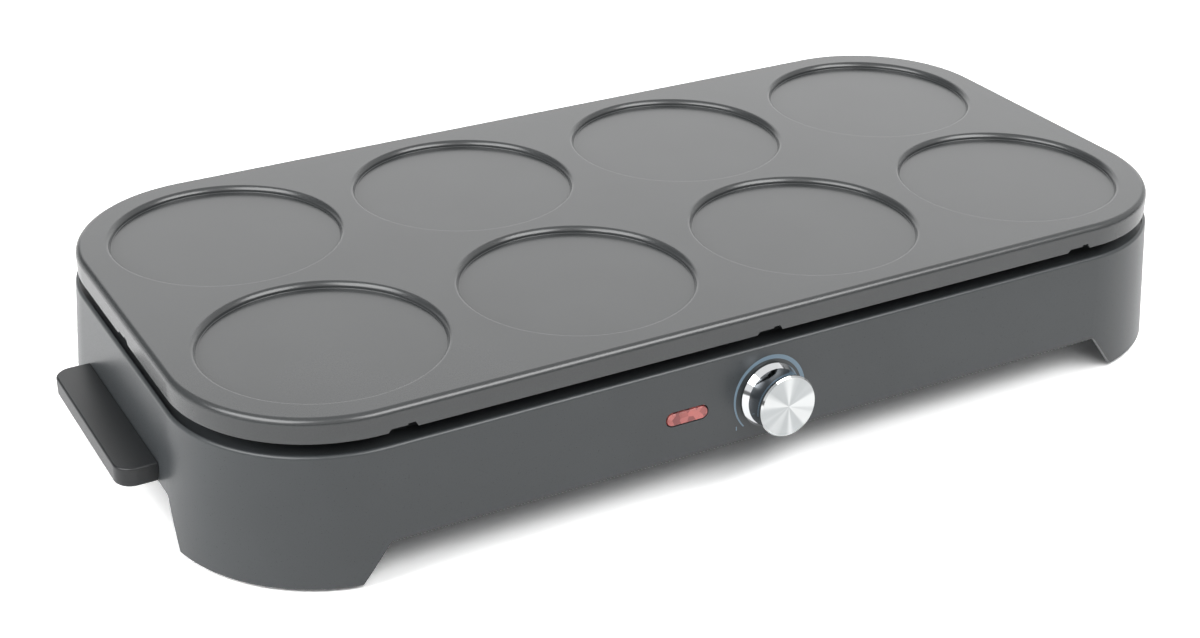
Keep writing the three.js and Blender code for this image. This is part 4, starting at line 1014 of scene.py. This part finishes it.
def spun_aluminium():
    material = metal("spun aluminium", "#CDCFD0", 0.4, 1.0, 0.0, mottle=0.02, Anisotropic=0.75,
                     Anisotropic_Rotation=0.25)
    tree = material.node_tree
    shader = tree.nodes["Principled BSDF"]
    around = add(tree, "Tangent", direction_type="RADIAL", axis="Z")
    tree.links.new(around.outputs[0], shader.inputs["Tangent"])
    place = add(tree, "TexCoord").outputs["Object"]
    waves = {"Vector": place, "Scale": groove_scale / millimetre, "Distortion": 1.0, "Detail": 2.0,
             "Detail Scale": 2.0}
    grooves = add(tree, "TexWave", waves, wave_type="RINGS", rings_direction="Z")
    gloss = add(tree, "MapRange", {"Value": grooves.outputs[1], "To Min": groove_gloss[0],
                                   "To Max": groove_gloss[1]})
    flat = add(tree, "VectorMath", {0: place, 1: (1, 1, 0)}, operation="MULTIPLY")
    radius = add(tree, "VectorMath", {0: flat.outputs[0]}, operation="LENGTH").outputs["Value"]
    polished = add(tree, "Math", {0: radius, 1: face_radius - face_chamfer}, operation="GREATER_THAN")
    finish = add(tree, "Mix", {"Factor": polished.outputs[0], "A": gloss.outputs[0], "B": chamfer_gloss})
    tree.links.new(finish.outputs[0], shader.inputs["Roughness"])
    ray = add(tree, "VectorMath", {0: flat.outputs[0]}, operation="NORMALIZE")
    # Fans of lighter and darker colour round the axis: painted spokes of reflected light, fixed to the face.
    painted_spokes = add(tree, "TexNoise", {"Vector": ray.outputs[0], "Scale": painted_spoke_scale, "Detail": 1.0})
    shade = add(tree, "MapRange", {"Value": painted_spokes.outputs[0], "From Min": painted_spoke_ends[0],
                                   "From Max": painted_spoke_ends[1]}, interpolation_type="SMOOTHSTEP")
    painted_spoke_colour = add(tree, "Mix", {"Factor": shade.outputs[0], "A": linear("#B2B5B6"), "B": linear("#D6D8D8")},
               data_type="RGBA")
    tree.links.new(painted_spoke_colour.outputs["Result"], shader.inputs["Base Color"])
    return material


# %% [markdown]
# ## Red acrylic
# Part of the light goes into the lens and comes back off the facets behind it. That light and shade is
# painted into the colour as lighter and darker cells round scattered points, with straight edges and uneven sizes,
# as such facets have.

# %% Red acrylic
facet_width = 3.4
facet_unevenness = 0.85
painted_facet_ends = (0.3, 0.65)


def red_acrylic():
    material = textured("clear red acrylic", "#F08078", 0.06, 2.0, 0.0005, mottle=0.04, gloss=0.02, IOR=1.49,
                        Transmission_Weight=0.5)
    tree = material.node_tree
    place = add(tree, "TexCoord").outputs["Object"]
    pattern = {"Vector": place, "Scale": 1 / (facet_width * millimetre), "Randomness": facet_unevenness}
    cells = add(tree, "TexVoronoi", pattern, voronoi_dimensions="2D")
    # Lighter and darker cells: painted light and shade of the facets behind the lens.
    painted_facet_shade = add(tree, "MapRange", {"Value": cells.outputs["Color"], "From Min": painted_facet_ends[0],
                                   "From Max": painted_facet_ends[1]})
    shade = add(tree, "Mix", {"Factor": painted_facet_shade.outputs[0], "A": linear("#B06463"), "B": linear("#F0928B")},
                data_type="RGBA")
    tree.links.new(shade.outputs["Result"], tree.nodes["Principled BSDF"].inputs["Base Color"])
    return material


finishes["knob_aluminium"] = spun_aluminium()
finishes["lens_red"] = red_acrylic()
# Pad printed ink is thin, satin and even.
ink = textured("blue grey pad print", "#6E8392", 0.4, 0.3, 0.002, mottle=0.06, IOR=1.5)
print(len(finishes), "finishes and", ink.name)

# %% [markdown]
# ## Dressing the pieces
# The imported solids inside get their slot's finish as well, so nothing stays plain when the model is open.

# %% Put every finish on
finished = [(node, finishes[slots[name]]) for name, node in nodes.items()]
finished += [(item, ink if item in prints else finishes[item["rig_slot"]]) for item in made]
for item, material in finished:
    item.data.materials.clear()
    item.data.materials.append(material)
print(len(finishes), "finishes on", len(finished), "pieces")

# %% [markdown]
# ## Floor
# The object stands on a round white sheet. To the camera it is a little brighter than its colour, which
# makes it read as white and still keeps the object's shadow, and in mirrors it glows as if well lit. It
# ends close behind the object, so that the room's white meets it in low views.


# %% Floor
view_gain = 1.6
mirror_gain = 0.6
mirror_glow = 0.85


def floor_material():
    material = bpy.data.materials.new("white paper sweep")
    material.use_nodes = True
    tree = material.node_tree
    tree.nodes.remove(tree.nodes["Principled BSDF"])
    path = add(tree, "LightPath")
    either = {0: path.outputs["Is Glossy Ray"], 1: path.outputs["Is Transmission Ray"]}
    mirrored = add(tree, "Math", either, operation="MAXIMUM").outputs[0]
    paper = linear("#F4F4F4")
    in_mirror = [c * mirror_gain for c in paper[:3]] + [1.0]
    in_view = [c * view_gain for c in paper[:3]] + [1.0]
    shade = add(tree, "Mix", {"Factor": mirrored, "A": paper, "B": in_mirror}, data_type="RGBA")
    seen = {"Factor": path.outputs["Is Camera Ray"], "A": shade.outputs["Result"], "B": in_view}
    final = add(tree, "Mix", seen, data_type="RGBA")
    matt = add(tree, "BsdfDiffuse", {"Color": final.outputs["Result"]})
    glow = add(tree, "Math", {0: mirrored, 1: mirror_glow}, operation="MULTIPLY")
    lit = add(tree, "Emission", {"Color": paper, "Strength": glow.outputs[0]})
    both = add(tree, "AddShader", {0: matt.outputs[0], 1: lit.outputs[0]})
    tree.links.new(both.outputs[0], tree.nodes["Material Output"].inputs["Surface"])
    return material


floor_radius = 1.1
floor_mesh = bpy.data.meshes.new("floor")
rim = arc((0, 0), floor_radius, 0, 4, 96)[:-1]
floor_mesh.from_pydata([(x, y, 0) for x, y in rim], [], [tuple(range(len(rim)))])
floor_mesh.materials.append(floor_material())
floor = placed("floor", floor_mesh)
print("floor", round(2 * floor_radius, 1), "m wide")

# %% [markdown]
# ## Room
# To the camera the room is plain white, and it lights everything evenly at a low level. Mirrors see bands
# of white and dark in it by height, as the screens of a studio give: these draw the dark lines in the
# plate's rounds and in the chrome. They differ in front, behind and at the left.

# %% World
ambient_level = 0.33
left_edge = (0.12, -0.04)
front_edge = (0.15, -0.05)
# Each band: the sine of its height above the horizon, and its shade.
room_bands = {
    "front": [(0.0, 0.9), (0.03, 0.2), (0.16, 0.2), (0.24, 0.9)],
    "back": [(0.60, 1.0), (0.78, 0.85)],
    "side": [(0.16, 1.0), (0.24, 0.15), (0.60, 0.15), (0.80, 0.7)],
}
world = bpy.data.worlds.new("studio")
bpy.context.scene.world = world
world.use_nodes = True
world_tree = world.node_tree
background = world_tree.nodes["Background"]
path = add(world_tree, "LightPath")
either = {0: path.outputs["Is Camera Ray"], 1: path.outputs["Is Glossy Ray"]}
shown = add(world_tree, "Math", either, operation="MAXIMUM").outputs[0]
direction = add(world_tree, "TexCoord").outputs["Generated"]
heading = add(world_tree, "SeparateXYZ", {"Vector": direction})
shades = {}
for part, stops in room_bands.items():
    bands = add(world_tree, "ValToRGB", {"Fac": heading.outputs["Z"]})
    ramp = bands.color_ramp.elements
    for element, (height, shade) in zip(ramp, stops):
        element.position, element.color = height, (shade, shade, shade, 1)
    for height, shade in stops[2:]:
        ramp.new(height).color = (shade, shade, shade, 1)
    shades[part] = bands.outputs["Color"]
on_left = add(world_tree, "MapRange", {"Value": heading.outputs["X"], "From Min": left_edge[0],
                                       "From Max": left_edge[1]})
in_front = add(world_tree, "MapRange", {"Value": heading.outputs["Y"], "From Min": front_edge[0],
                                        "From Max": front_edge[1]})
behind = add(world_tree, "Mix", {"Factor": on_left.outputs[0], "A": shades["back"], "B": shades["side"]},
             data_type="RGBA")
room = add(world_tree, "Mix", {"Factor": in_front.outputs[0], "A": behind.outputs["Result"],
                               "B": shades["front"]}, data_type="RGBA")
look = add(world_tree, "Mix", {"Factor": path.outputs["Is Glossy Ray"], "A": linear("#FFFFFF"),
                               "B": room.outputs["Result"]}, data_type="RGBA")
world_tree.links.new(look.outputs["Result"], background.inputs["Color"])
level = add(world_tree, "MapRange", {"Value": shown, "To Min": ambient_level, "To Max": 1.0})
world_tree.links.new(level.outputs[0], background.inputs["Strength"])
print("room with", len(world_tree.nodes), "nodes")

# %% [markdown]
# ## Soft lights
# One large source behind puts the sheen on the plate. Three keys model the walls and the shadow; they stay
# out of reflections, where they would whiten the plate when seen from behind. Two panels show only in
# reflections: they are the bright lines along the plate's rounds, in its wells and on the housing's lip,
# with a dark gap where the camera stands.

# %% Soft lights
aim = Vector((0, 0, 0.05))
for name, place, size, power, hidden in (
    ("back light", (0.95, 1.9, 0.85), (3.0, 1.5), 9.5, "visible_camera"),
    ("left key", (-1.47, 0.13, 0.85), (1.0, 1.0), 27, "visible_glossy"),
    ("right key", (1.5, 0.6, 0.45), (1.2, 0.7), 17, "visible_glossy"),
    ("front key", (0.36, -0.80, 1.08), (2.0, 0.7), 15, "visible_glossy"),
    ("front panel", (0.41, -0.89, 1.07), (1.04, 0.7), 14.5, "visible_diffuse"),
    ("left panel", (-0.94, -0.25, 1.05), (1.2, 0.7), 15.5, "visible_diffuse"),
):
    light = bpy.data.lights.new(name, "AREA")
    light.shape = "RECTANGLE"
    light.size, light.size_y = size
    light.energy = power
    lamp = placed(name, light)
    lamp.location = place
    lamp.rotation_euler = (aim - Vector(place)).to_track_quat("-Z", "Y").to_euler()
    lamp.visible_camera = False
    setattr(lamp, hidden, False)
    print(name, power, "W", hidden, "off")

# %% [markdown]
# ## Camera
# The camera's place and lens were fitted to the edges of the object in the photograph, so the frame of
# the render is the frame of the photograph.

# %% Camera
camera_yaw = radians(29.34)
camera_pitch = radians(27.76)
camera_roll = radians(0.59)
camera_place = (-0.44388, -0.75551, 0.47819)
camera_data = bpy.data.cameras.new("camera")
camera_data.lens = 61.185
camera_data.sensor_width = 36
turn = Matrix.Rotation(-camera_yaw, 4, "Z") @ Matrix.Rotation(quarter_turn - camera_pitch, 4, "X")
place = Matrix.Translation(camera_place) @ turn @ Matrix.Rotation(camera_roll, 4, "Z")
bpy.context.scene.camera = placed("camera", camera_data, place)
bpy.context.scene.view_settings.view_transform = "Standard"
print("camera lens", camera_data.lens, "mm")
